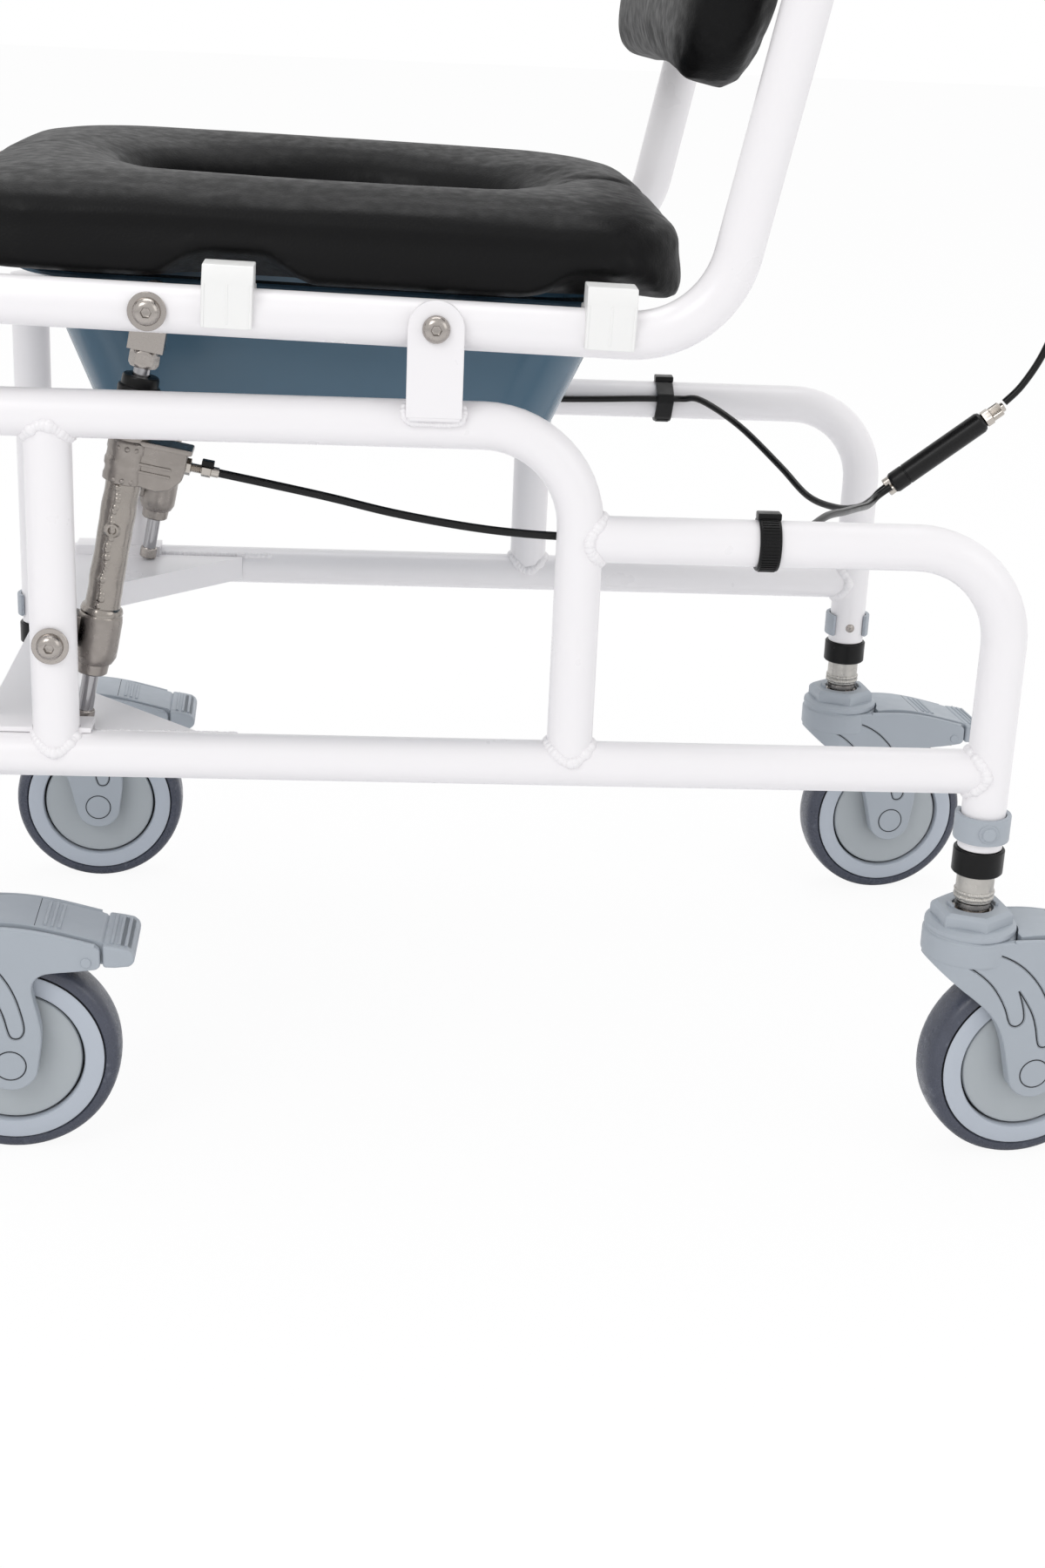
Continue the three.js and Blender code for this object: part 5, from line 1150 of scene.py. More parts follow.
class CHAIR_OT_castors(bpy.types.Operator):
    """Builds the four braked castors with their stems, bushes and collars"""

    bl_idname = "chair.castors"
    bl_label = "Castors"

    def execute(self, context):
        steel, grey = "stainless_steel", "grey_nylon"
        wheel_looks = ["disc_polypropylene", "ring_polypropylene", "dark_seam", "cast_polyurethane"]
        fork_shape, wheel_shape, pedal_shape = fork(), wheel(), pedal()
        for name, (x, out, swivel) in CASTORS.items():
            leg = CHAIR @ Matrix.Translation((x, out * FRAME_HALF, 0))
            turn = leg @ Matrix.Rotation(math.radians(swivel), 4, "Z")
            for what, mesh, finishes, body, node, slot, place in (
                ("castor_stem", castor_stem(), ["galvanised_tube", steel], "base", "stem",
                 "steel", leg),
                ("bush", leg_bush(), ["black_plastic"], "base", "leg_bush", "black_rubber", leg),
                ("collar", leg_collar(out), [grey], "base", "leg_clip", "grey_clip", leg),
                ("height_pin", height_pin(out), [steel], "base", None, "steel", leg),
                ("castor_fork", fork_shape.copy(), [grey, "dark_seam", steel],
                 f"{name}_castor", "fork", "castor_grey", turn),
                ("castor_wheel", wheel_shape.copy(), wheel_looks, f"{name}_wheel_body", "wheel",
                 "wheel_tyre", turn),
                ("brake_pedal", pedal_shape.copy(), [grey, "brake_rubber", "dark_seam"],
                 f"{name}_brake", "pedal", "castor_grey", turn),
            ):
                piece(f"{name}_{what}", mesh, finishes, body, node and f"{name}_{node}", slot,
                      place)
        return {"FINISHED"}


# Locking struts


def strut_casting():
    """Cast barrel, plated tube with a pressed ring, and the cast hoops round the rod."""
    profile = [
        (7.1, -25), (8.6, -25), (9.8, -24), (10.2, -18), (11.6, -17), (13.2, -13),
        (13.6, -8), (13.6, 9), (13, 12.6), (12.4, 13.4), (12.9, 15), (12.2, 17.4),
        (10.8, 18.4), *[(10.5, 24.0 + 3.0 * i) for i in range(25)],
        (12.8, 97), (13, 100), (12.5, 102), (12.5, 105), (13.2, 106.5), (13.2, 109.5),
        (12.5, 111), (12.5, 115), (13.1, 116.5), (13, 121), (12.2, 122.4), (11.5, 123),
        (11.5, 148), (7.1, 148),
    ]
    plated = [3 if 10.0 < z < 95.0 else 0 for _, z in profile]
    return dented(shifted(ring_turned(profile, 40, plated), ROD_OFFSET), 0.5, 9.0)


def dented(mesh, depth, size):
    """Shallow dents and lumps, as a tumbled casting has."""
    moves = [v.normal * depth * noise.noise(v.co / size) for v in mesh.vertices]
    for vertex, move in zip(mesh.vertices, moves):
        vertex.co += move
    return mesh


def strut_housing():
    """The flat lobe that guides the release cable's end, with its ribs and rivets."""
    outline = [(ROD_OFFSET + x, z) for x, z in (
        (6, 97), (20, 95.4), (28, 98), (34, 105), (35, 112), (35, 122.6), (6, 122.6))]
    lobe = upright(outline, -9, 9, 1.6, 3)
    lip = block((ROD_OFFSET + 4, -9.8, 121), (ROD_OFFSET + 37.4, 9.8, 124.6), 1.2, 2)
    ribs = [
        block((ROD_OFFSET + 2, s * 9 - 1, z - 0.9), (ROD_OFFSET + 27, s * 9 + 1, z + 0.9), 0.7, 2)
        for s in OUTS for z in (106, 110.6)
    ]
    rivets = [
        moved(turned([(1.7, 0), (1.7, 1), (1.1, 1.7), (0.4, 1.9)], 16),
              facing(ROD_OFFSET + x, z, s, 12.0 - abs(x) * 0.28))
        for s in OUTS for x in (-5, 0, 5) for z in (99, 118.4)
    ]
    return joined([lobe, lip, *ribs, *rivets])


def strut_seam():
    """The broad lumpy weld down both faces of the strut tube, and the round dimple in it."""
    lines, dimples = [], []
    for s in OUTS:
        lines.append([
            (ROD_OFFSET - 1.5 + 0.7 * math.sin(z * 0.31), s * 8.4, z) for z in range(20, 96, 2)
        ])
        dimples.append(moved(ring_turned([(1.4, -1), (2.6, 0.5), (4, 0.7), (5.2, -1)], 24),
                             facing(ROD_OFFSET - 1.0, 68.0, s, 10.7)))
    seam = beads(lines, closed=False, radius=2.9, step=2.4, seed=9, finish="plated_strut_tube")
    return joined([seam, *dimples])


def strut_lug():
    eye = sleeve(4.5, 11.0, -LUG_HALF, LUG_HALF, 0.6, sides=40)
    web = block((6, -8, -9), (ROD_OFFSET, 8.0, 11.0), 1.6, 3)
    return joined([moved(eye, across((0, 0, 0), "X")), web])


def strut_cap():
    """The black two-step cap that wipes the rod."""
    return shifted(ring_turned([
        (5.6, 145.5), (12, 145.5), (12.7, 146.2), (12.7, 153.6), (12.1, 154.6), (11.2, 155),
        (11, 155.6), (11, 159.6), (10.2, 160.8), (5.6, 161),
    ]), ROD_OFFSET)


ADJUSTER_X = ROD_OFFSET + 34.5


def strut_adjuster():
    """Hexagon, thread and ferrule where the release cable goes in."""
    collar = loft([hexagon(5.2, 0.0, 24), hexagon(5.2, 3.0, 24), circle(3.2, 3.4, 24)])
    thread = [(2.5, 3)]
    for i in range(6):
        thread += [(2.9, 3.6 + i), (2.4, 4.1 + i)]
    screw = turned([*thread, (2.4, 10)], 24)
    nut_part = loft([circle(3.0, 9.4, 24), hexagon(4.1, 9.8, 24), hexagon(4.1, 15.0, 24),
                     circle(3.0, 15.4, 24)])
    ferrule = turned([(2.7, 15), (3.1, 15.6), (3.1, 19.4), (2.7, 20)], 24)
    return moved(joined([collar, screw, nut_part, ferrule]), across((ADJUSTER_X, 0, 113), "Y"))


def adjuster_clamp():
    """The small black block on the adjuster's hexagon."""
    return block((ADJUSTER_X + 9, -3, 115.8), (ADJUSTER_X + 16.4, 3, 119.2), 0.5, 2)


def strut_rod():
    """Chromed rod, lock nut and clevis."""
    low = TOP_PIN - 29.0
    rod = shifted(turned([(4.2, -57), (5, -56), (5.0, low + 2.0)]), ROD_OFFSET)
    tip = shifted(turned([
        (5.7, -57), (6.4, -56.2), (6.4, -50), (6, -49.2), (5, -49),
    ], 24), ROD_OFFSET)
    lock = shifted(hex_nut(9.0, 10.0, 5.0), ROD_OFFSET, 0, low - 10.2)
    half_width, slot = 10.5, 4.2
    outline = [(-half_width, 0), (half_width, 0), (half_width, 31.0),
               *arc((0, 29), half_width, 12, 168, 14), (-half_width, 31.0)]
    clevis = upright(outline, -LUG_HALF, LUG_HALF, 0.9, 2)
    clevis = carve(clevis, block((-20.0, -slot, 12.0), (20.0, slot, 50.0)))
    clevis = shifted(clevis, ROD_OFFSET, 0, low)
    return joined([(rod, 0), (tip, 1), (lock, 1), (clevis, 1)])


class CHAIR_OT_struts(bpy.types.Operator):
    """Builds the two locking struts with their rods, caps and cable adjusters"""

    bl_idname = "chair.struts"
    bl_label = "Locking struts"

    def execute(self, context):
        for name, out in SIDES.items():
            place = (CHAIR @ Matrix.Translation((POST_X, out * STRUT_Y, STRUT_BOLT_Z))
                     @ Matrix.Rotation(STRUT_LEAN, 4, "Y"))
            cast = joined([
                strut_casting(), (joined([strut_housing(), strut_lug()]), 0), (strut_seam(), 3),
                (strut_cap(), 1), (strut_adjuster(), 2), (adjuster_clamp(), 1),
            ])
            looks = ["rough_casting", "black_plastic", "nickel_brass", "plated_strut_tube"]
            piece(f"{name}_strut_casting", cast, looks, f"{name}_strut", f"{name}_strut_body",
                  "cast_metal", place)
            piece(f"{name}_chromed_rod", strut_rod(), ["chromed_rod", "stainless_steel"],
                  f"{name}_rod", f"{name}_strut_rod", "steel", place)
        return {"FINISHED"}


# Seat frame


def seat_side(out):
    """One seat tube with its back post, and the runner that carries the pan."""
    y = out * FRAME_HALF
    corner = (SEAT_BEND_X + BEND_R * math.tan(BEND_TURN / 2), y, 0)
    run = tubes([[(SEAT_FRONT, y, 0), corner, tuple(post_at(POST_LENGTH, y))]], steps=24)
    plug = moved(turned([
        (TUBE_R - 0.6, -1.0), (TUBE_R, 0.2), (TUBE_R - 0.4, 1.4), (TUBE_R - 2.0, 2.0), (0, 2.2),
    ]), along((SEAT_FRONT, y, 0), (SEAT_FRONT - 1, y, 0)))
    outer, inner, top, low = 168.0, 153.0, 3.5, 0.5
    a, b = sorted((out * inner, out * outer))
    shelf = block((-243, a, low), (108, b, top), 0.8, 2)
    a, b = sorted((out * (outer - 1.5), out * (FRAME_HALF - 7.0)))
    arms = [block((x - 13, a, low), (x + 13, b, top), 0.8, 2) for x in (-205, 26, 92)]
    return joined([run, plug, shelf, *arms])


def seat_clip(out):
    """A white clip: wraps the tube's outer half, rises beside the pad and reaches under it."""
    inner, face = TUBE_R + GAP, TUBE_R + GAP + 3.2
    outline = [
        (inner * math.cos(math.asin(7 / inner)), -7), (face, -7), (face, 18), (face - 4, 28),
        (-8, 28), (-8, TUBE_R), (-22, TUBE_R), (-22, TUBE_R - 4),
        (-8, inner * math.sin(math.acos(8 / inner))),
    ]
    lip = 180 - math.degrees(math.acos(8 / inner))
    foot = -math.degrees(math.asin(7 / inner))
    outline += arc((0, 0), inner, lip, foot, 22)[1:-1]
    width = 29.0
    clip = prism(outline, -width / 2, width / 2, 0.7, 2)
    crease = block((face - 0.35, -4.5, -0.7), (face + 0.35, 18.0, 0.7), 0.3, 1)
    edge_ribs = [
        block((face - 0.3, -6.6, s * 13.4 - 0.8), (face + 0.5, 18.0, s * 13.4 + 0.8), 0.35, 1)
        for s in OUTS
    ]
    whole = joined([clip, crease, *edge_ribs])
    turn = Matrix(((0, 0, 1, 0), (out, 0, 0, 0), (0, 1, 0, 0), (0, 0, 0, 1)))
    return moved(whole, turn)


BAR_X = post_at(POST_LENGTH + BACK_RISE).x + 116.0
BAR_Z = post_at(POST_LENGTH + BACK_RISE).z
LEVER_Y = 62.0
LEVER_PIN_Z = BAR_Z - 38.0


def back_frame():
    """Upper posts, lumbar tube and push bar, with clamp sleeves at the joint."""
    start, high, lumbar_at = (POST_LENGTH + rise for rise in (GAP, BACK_RISE, LUMBAR_RISE))
    side = lambda out, height: tuple(post_at(height, out * FRAME_HALF))
    loop = tubes([[
        side(-1, start), side(-1, high), (BAR_X, -FRAME_HALF, BAR_Z), (BAR_X, FRAME_HALF, BAR_Z),
        side(1, high), side(1, start),
    ]], steps=20)
    lumbar = tubes([[side(-1, lumbar_at), side(1, lumbar_at)]])
    welds = beads([saddle(side(out, lumbar_at), (0, -out, 0), POST_WAY) for out in OUTS])
    sleeves = [
        (moved(ring_turned([
            (14.2, 0), (16, 0), (16.5, 0.6), (16.5, 33.2), (16, 34), (14.2, 34.4),
        ]), along(side(out, start), side(out, start + 1))), 0)
        for out in OUTS
    ]
    knobs = [
        (moved(button_head(6.5, 4.0), Matrix.Translation(side(out, start + 17.0))
               @ Matrix.Rotation(-out * math.pi / 2, 4, "X") @ Matrix.Translation((0, 0, 16.3))), 1)
        for out in OUTS
    ]
    clamp_half, low, high = 13.0, BAR_Z - 45.0, BAR_Z - 10.0
    near, far = LEVER_Y - clamp_half, LEVER_Y + clamp_half
    clamp = joined([
        moved(sleeve(14.1, 18.5, -clamp_half, clamp_half, 0.7, 0.8),
              across((BAR_X, LEVER_Y, BAR_Z), "X")),
        block((BAR_X - 14, near, low), (BAR_X - 10, far, high), 1.2, 2),
        block((BAR_X + 10, near, low), (BAR_X + 14, far, high), 1.2, 2),
        block((BAR_X - 14, near, low), (BAR_X + 14, LEVER_Y - 9.0, high), 1.2, 2),
    ])
    pin = moved(turned([(3, -16), (3, 16)]), across((BAR_X, LEVER_Y, LEVER_PIN_Z), "Y"))
    return joined([(loop, 0), (lumbar, 0), (welds, 0), *sleeves, *knobs, (clamp, 2), (pin, 1)])


def release_lever():
    """The curved black lever under the push bar."""
    y, z = LEVER_Y, LEVER_PIN_Z
    upper = smooth_line([(y - 5.0, z + 3.0), (y + 12, z + 4.6), (y + 59, z + 0.4),
                         (y + 100, z + 1.0), (y + 116, z + 2.4)], 5)
    lower = smooth_line([(y + 118, z - 3.0), (y + 100, z - 7.0), (y + 59, z - 9.6),
                         (y + 20, z - 7.0), (y - 5.0, z - 3.0)], 5)
    blade = prism([*upper, *lower], -7.0, 7.0, 2.4, 3)
    turn = Matrix(((0, 0, 1, 0), (1, 0, 0, 0), (0, 1, 0, 0), (0, 0, 0, 1)))
    eye = moved(sleeve(3.5, 6.0, -8.8, 8.8, 0.6), across((BAR_X, y, z), "Y"))
    return joined([shifted(moved(blade, turn), BAR_X), eye])


CROSS_X = -312.0
HANGER_Y = 112.0
HANGER_END_Z = -372.0
HANGER_BEND_X = CROSS_X - 88.0
HANGER_X = HANGER_BEND_X - 18.0
HINGE_X = HANGER_X - 23.0
HINGE_Z = HANGER_END_Z + 11.0
EAR_HALF = 5.5


def front_cross():
    """Cross tube, footrest hangers and their ears."""
    end = FRAME_HALF - TUBE_R - GAP
    starts = [(CROSS_X, out * HANGER_Y, 0) for out in OUTS]
    ends = [(HANGER_X, out * HANGER_Y, HANGER_END_Z) for out in OUTS]
    cross = tubes([[(CROSS_X, -end, 0), (CROSS_X, end, 0)]])
    hangers = tubes([[a, (HANGER_BEND_X, a[1], 0), b] for a, b in zip(starts, ends)], 11.0, 50.0,
                    steps=18)
    welds = beads([saddle(a, (-1, 0, 0), (0, 1, 0), 11.0) for a in starts])
    cross_ends = beads([ring_line((CROSS_X, out * (end - 1.0), 0), (0, 1, 0), TUBE_R)
                        for out in OUTS], radius=2.2, step=1.8)
    ear = [*arc((HINGE_X, HINGE_Z), 12.0, 90, 270, 16), (HANGER_X, HINGE_Z - EAR_HALF),
           (HANGER_X, HINGE_Z + EAR_HALF)]
    ears = [(upright(ear, out * HANGER_Y - EAR_HALF, out * HANGER_Y + EAR_HALF, 1.0, 2), 0)
            for out in OUTS]
    pin = moved(turned([(6.0, -HANGER_Y), (6.0, HANGER_Y)]), across((HINGE_X, 0, HINGE_Z), "X"))
    tips = [
        (moved(turned([(10.4, -0.4), (11, 0.3), (10.4, 1.6), (8, 2.2), (0, 2.4)]),
               along(b, (HANGER_X - 0.05, b[1], HANGER_END_Z - 1))), 2)
        for b in ends
    ]
    return joined([(cross, 0), (hangers, 0), (welds, 0), (cross_ends, 0), *ears, (pin, 1), *tips])


def footplate():
    """The moulded footplate with its barrel and raised tread bars."""
    half = HANGER_Y - EAR_HALF - 1.2
    barrel = moved(sleeve(6.5, 12, -half, half, 0.8), across((HINGE_X, 0, HINGE_Z), "X"))
    half_length, half_width, thick = 84.0, 165.0, 12.0
    middle = HINGE_X - 12.0 - 1.2 - half_length
    rear, tread, lip = middle + half_length, middle - 58.0, middle + half_length - 6.0
    outline = [(middle + a, b) for a, b in rounded_box(half_length, half_width, 38.0, 10)]
    plate = prism(outline, HINGE_Z - thick / 2, HINGE_Z + thick / 2, 2.6, 3)
    neck = block((rear - 12.0, -half, HINGE_Z - 4.0), (HINGE_X - 7.0, half, HINGE_Z + 4.0), 1.0, 2)
    bars = rib_row([(tread, -124.0, HINGE_Z + 5.6), (tread, 124.0, HINGE_Z + 5.6)], 1.6, 11,
                   (11.6, 0.0, 0.0))
    edge = tubes([[(lip, -146.0, HINGE_Z + 6.4), (lip, 146.0, HINGE_Z + 6.4)]], 2.2, 0.0, 16, 1,
                 "grey_nylon")
    return joined([barrel, plate, neck, bars, edge])


def armrest(out):
    """The swing-away arm: hub, pin and bent tube with a plug at its end."""
    axis, y = post_at(ARM_RISE), out * ARM_Y
    hub_place = facing(axis.x, axis.z, out, FRAME_HALF)
    hub = moved(turned([(16.2, 14.6), (17, 15.4), (17, 55), (16.2, 56), (0, 56.2)]), hub_place)
    pin = moved(turned([(6, -17), (6, 20)]), hub_place)
    front, end = axis.x - 352.0, axis.z - 55.5
    rail = tubes([[(axis.x, y, axis.z), (front, y, axis.z), (front, y, end)]], ARM_R, 45.0,
                 steps=18)
    plug = moved(turned([
        (11.4, -1), (12.9, 0.2), (12.9, 2.6), (12.2, 3.9), (10, 4.4), (0, 4.5),
    ]), along((front, y, end), (front, y, end - 1.0)))
    return joined([(hub, 0), (pin, 1), (rail, 0), (plug, 2)])


class CHAIR_OT_seat_frame(bpy.types.Operator):
    """Builds the tilting seat frame with clips, push bar, lever, hangers, footplate and arms"""

    bl_idname = "chair.seat_frame"
    bl_label = "Seat frame"

    def execute(self, context):
        paint = "gloss_powder_coat"
        looks = [paint, "stainless_steel", "black_plastic"]
        for name, out in SIDES.items():
            piece(f"{name}_seat_tube", seat_side(out), [paint], "seat", f"{name}_seat_side",
                  "white_paint", SEAT)
            for end, x in CLIP_PLACES.items():
                place = SEAT @ Matrix.Translation((x, out * FRAME_HALF, 0))
                piece(f"{name}_{end}_pad_clip", seat_clip(out), ["white_nylon"], "seat",
                      f"{name}_{end}_seat_clip", "white_plastic", place)
            piece(f"{name}_arm_tube", armrest(out), looks, f"{name}_arm", f"{name}_armrest",
                  "white_paint", SEAT)
        for name, mesh, finishes, body, node, slot in (
            ("push_bar_frame", back_frame(), looks, "seat", "back_frame", "white_paint"),
            ("tilt_release_lever", release_lever(), ["black_plastic"], "lever", "release_lever",
             "black_rubber"),
            ("footrest_hangers", front_cross(), looks, "seat", "front_cross_tube", "white_paint"),
            ("moulded_footplate", footplate(), ["grey_nylon"], "footrest", "footplate",
             "castor_grey"),
        ):
            piece(name, mesh, finishes, body, node, slot, SEAT)
        return {"FINISHED"}


# Pads and pan


def ease(share):
    return share * share * (3 - 2 * share)


def clip_lift(x, y):
    """Share of the seat pad's lift over the clips at a place of its lower edge."""
    near = max(max(0.0, 1 - abs(x - centre) / 44.0) for centre in CLIP_PLACES.values())
    edge = max(0.0, min(1.0, (abs(y) - 178.0) / 30.0))
    return ease(min(1.0, near * 1.7)) * edge


def seat_pad():
    """The moulded seat pad: drawn-in sides, an opening, and arches over the clips."""
    low, thick, crown = TUBE_R + 0.8, 46.0, 7.0
    front, rear, half, corner = -292.0, 148.0, 216.2, 58.0
    middle, half_a = (front + rear) / 2, (rear - front) / 2
    hole_x, hole_a, hole_b = -66.0, 135.0, 102.5

    def hole(a, b):
        turn = math.atan2(b / hole_b, (middle + a - hole_x) / hole_a)
        return hole_x + hole_a * math.cos(turn), hole_b * math.sin(turn)

    def ring(inset, share, height, arched=0.0):
        points = []
        for a, b in rounded_box(half_a - inset, half - inset, corner - inset * 0.6, 12, 26):
            hx, hy = hole(a, b)
            x, y = hx + (middle + a - hx) * share, hy + (b - hy) * share
            rise = clip_lift(x, y) * arched
            points.append(Vector((x, y, low + height + rise)))
        return points

    lift = 15.0
    # Each ring: how far inside the outline, its share of the way from the opening, its height
    # and how much of the arches it takes.
    rows = [(0, 0, 3), (0, -0.02, 10), (0, -0.02, 30), (0, 0.02, 38), (0, 0.07, 43)]
    rows += [(6, 0.07 + (0.86 * i) / 9, 44 + crown * math.sin(math.pi * i / 9))
             for i in range(1, 9)]
    rows += [
        (13, 1, thick - 0.2), (7, 1, thick - 2.6), (2.6, 1, thick - 6.6), (0.6, 1, thick - 12),
        (1.4, 1, thick - 20, lift * 0.15), (1.2, 1, 16, lift * 0.55), (0.2, 1, 8, lift),
        (0.8, 1, 4.6, lift), (3, 1, 1.4, lift), (8, 1, 0, lift), (34, 1, 0), (0, 0.4, 0),
        (0, 0.1, 0),
    ]
    return loft([ring(*row) for row in rows], around=True)


def cushion(half_a, half_b, corner, thick, crown, pull, place, grid):
    """A crowned cushion: drawn-in sides, round edges and a full top."""
    edge = min(thick / 3, corner / 2)

    def ring(inset, height, draw, share=1.0):
        points = []
        for a, b in rounded_box(half_a - inset, half_b - inset, corner - inset, 10, 24):
            ta, tb = a / half_a, b / half_b
            pa = 1 - draw / half_a * (1 - min(1.0, tb * tb))
            pb = 1 - draw / half_b * (1 - min(1.0, ta * ta))
            points.append(place(a * share * pa, b * share * pb, height))
        return points

    rows = [(edge * 0.5, 0.0, pull), (0.0, edge * 0.7, pull), (0.0, thick * 0.5, pull * 1.3),
            (0.0, thick - edge, pull)]
    for i in range(1, 5):
        t = math.pi / 2 * i / 4
        rows.append((edge * (1 - math.cos(t)), thick - edge + edge * math.sin(t), pull))
    for i in range(1, grid):
        share = 1 - i / grid
        rows.append((edge, thick + crown * (1 - share**2), pull, share))
    rows.append((edge, thick + crown, pull, 0.02))
    return loft([ring(*row) for row in rows])


AIR_PRESSURE = 4.0
CLOTH_STEPS = 4
CLOTH_FRAMES = 20


def swelled(mesh, swell_mm, voxel_mm, room):
    """Fills a pad with air in a cloth simulation, and lets each point move only a little.

    The room function gives the share of the largest movement that a point may make.
    """
    pad = new_object("pad", mesh)
    remesh = pad.modifiers.new("remesh", "REMESH")
    remesh.mode = "VOXEL"
    remesh.voxel_size = voxel_mm * MM
    even = evaluated(pad)
    pad.modifiers.clear()
    pad.data = even
    rest = [v.co.copy() for v in even.vertices]
    cloth = pad.modifiers.new("air", "CLOTH")
    cloth.settings.use_pressure = True
    cloth.settings.uniform_pressure_force = AIR_PRESSURE
    cloth.settings.effector_weights.gravity = 0.0
    cloth.settings.quality = CLOTH_STEPS
    cloth.collision_settings.use_collision = False
    for step in range(1, CLOTH_FRAMES + 1):
        bpy.context.scene.frame_set(step)
    full = evaluated(pad)
    pad.modifiers.clear()
    bpy.context.scene.frame_set(1)
    for vertex, start in zip(full.vertices, rest):
        way, most = vertex.co - start, swell_mm * MM * room(start)
        if way.length > most:
            vertex.co = start + way.normalized() * most
    pad.data = full
    soft = pad.modifiers.new("soft", "SUBSURF")
    soft.levels = soft.render_levels = 1
    made = evaluated(pad)
    bpy.data.objects.remove(pad)
    return made


def everywhere(place):
    """The whole swelling at every point."""
    return 1.0


def above_tubes(place):
    """Share of the swelling that the seat pad has at a point: none near the tubes and clips."""
    height = (SEAT.inverted() @ place).z - TUBE_R
    return ease(max(0.0, min(1.0, (height - 16.0) / 16.0)))


def back_pad():
    """The back pad in its own plane, from the post's foot."""
    half_height, foot = 178.0, 74.0

    def place(a, b, h):
        return Vector((-TUBE_R - 1.0 - h, a, foot + half_height + b))

    return cushion(half_a=217.0, half_b=176.0, corner=58.0, thick=39.0, crown=11.0, pull=5.0,
                   place=place, grid=16)


def arm_pad(out):
    """The pad on an arm tube, from the seat's pivot."""
    axis = post_at(ARM_RISE)
    middle, low = axis.x - 58.0 - 135.0, axis.z + ARM_R + 0.6

    def place(a, b, h):
        return Vector((middle + a, out * ARM_Y + b, low + h))

    return cushion(half_a=134.0, half_b=25.4, corner=21.0, thick=28.5, crown=4.0, pull=0.6,
                   place=place, grid=8)


class CHAIR_OT_pads(bpy.types.Operator):
    """Builds the seat pad, the back pad and the arm pads"""

    bl_idname = "chair.pads"
    bl_label = "Pads"

    def execute(self, context):
        pads = [
            ("seat_cushion", seat_pad(), SEAT, "seat", "seat_pad", 3.0, 5.0, above_tubes, 0.9),
            ("back_cushion", back_pad(), BACK, "seat", "back_pad", sizes().pad_swell / MM, 5.0,
             everywhere, 0.8),
        ]
        for name, out in SIDES.items():
            pads.append((f"{name}_arm_cushion", arm_pad(out), SEAT, f"{name}_arm",
                         f"{name}_arm_pad", 1.2, 3.0, everywhere, 0.9))
        for name, mesh, place, body, node, swell, voxel, room, fill in pads:
            full = swelled(moved(mesh, place), swell, voxel, room)
            made = piece(name, full, ["self_skinned_foam"], body, node, "black_foam",
                         smooth_deg=SOFT_DEG)
        return {"FINISHED"}


def commode_pan():
    """The slide-in pan: rolled rim, tapered walls with a pressed panel, and a grip behind."""
    front, rear, half, corner, depth = -241.0, 112.5, 150.0, 48.0, 96.0
    middle, half_a = (front + rear) / 2, (rear - front) / 2
    rim_low = 3.8
    rim_top = rim_low + 4.0
    floor = rim_top - depth

    def ring(inset, z):
        loop = rounded_box(half_a - inset, half - inset, corner, 12, 4)
        return [Vector((middle + a, b, z)) for a, b in loop]

    taper, wall = 31.0, 3.0
    rows = [(taper + 12, floor), (taper + 4, floor + 1.2), (taper, floor + 5)]
    for i in range(1, 12):
        share = i / 12
        step = 1.2 if share > 0.78 else 0.0
        rows.append((taper * (1 - share) - step, floor + 5 + (depth - 12) * share))
    rows += [
        (0, rim_low - 1), (-1, rim_low), (-10.6, rim_low), (-12, rim_low + 0.8),
        (-12, rim_top - 1.4), (-10.8, rim_top), (wall - 1.2, rim_top), (wall, rim_top - 1.4),
        (taper + wall - 2, floor + wall + 8), (taper + wall + 2, floor + wall + 2),
        (taper + wall + 12, floor + wall),
    ]
    bowl = loft([ring(*row) for row in rows])
    outline = rounded_box(21.0, 60.0, 16.0, 8)
    grip = shifted(prism(outline, rim_low, rim_top, 1.4, 3), rear + 21.0)
    return joined([bowl, grip])


class CHAIR_OT_pan(bpy.types.Operator):
    """Builds the commode pan"""

    bl_idname = "chair.pan"
    bl_label = "Commode pan"

    def execute(self, context):
        piece("slide_in_pan", commode_pan(), ["pan_polypropylene"], "pan", "commode_pan",
              "pan_blue", SEAT)
        return {"FINISHED"}


# Cables

CABLE_R = 2.5
# The route's point that the strap holds.
STRAPPED = 9
NEAR_ROUTE = [
    (-478.5, 197.6, 435.1), (-450, 198.6, 429.9), (-412, 201.2, 423), (-375, 204, 415.5),
    (-335, 206.3, 409.5), (-300, 207.3, 406), (-262, 207.9, 404.6), (-220, 208, 405),
    (-185, 208, 405.8), (-151, 207.9, 407), (-136, 207.7, 408), (-121, 194, 410.5),
    (-103, 160, 410.5), (-84, 120, 404), (-66, 75, 396), (-52, 38, 389), (-43, 13, 385.6),
    (-36.5, 3.6, 388.6), (-28, 3.2, 395.2),
]
FAR_ROUTE = [
    (-478.5, 197.6, 435.1), (-450, 198.6, 429.9), (-412, 201.2, 423), (-375, 204, 415.5),
    (-335, 206.3, 411), (-300, 207.3, 409.5), (-262, 207.9, 409), (-220, 208, 410),
    (-185, 208, 411.5), (-163, 207.9, 412), (-149, 207.7, 412.4), (-136, 197, 413.5),
    (-111, 160, 402), (-84, 124, 380), (-67, 92, 365), (-52, 60, 364.5), (-42, 31, 372),
    (-37.5, 10, 382.5), (-34.5, 4, 389), (-28, 3.2, 395.2),
]
LEVER_ROUTE = [
    (46, 0, 455.6), (57, 0, 468), (69, 0, 490), (78, 0, 520), (84, 1, 560), (86, 2, 610),
    (85, 3, 670), (80, 4, 740), (72, 4, 810), (61, 2, 880), (50, -2, 930), (41, -4, 962),
    (35, 2, 984), (31.5, 18, 996), (30.2, 34, 998.3), (30, 48.6, 998.4),
]
SPLITTER_FROM = Vector((-27, 0, 396))
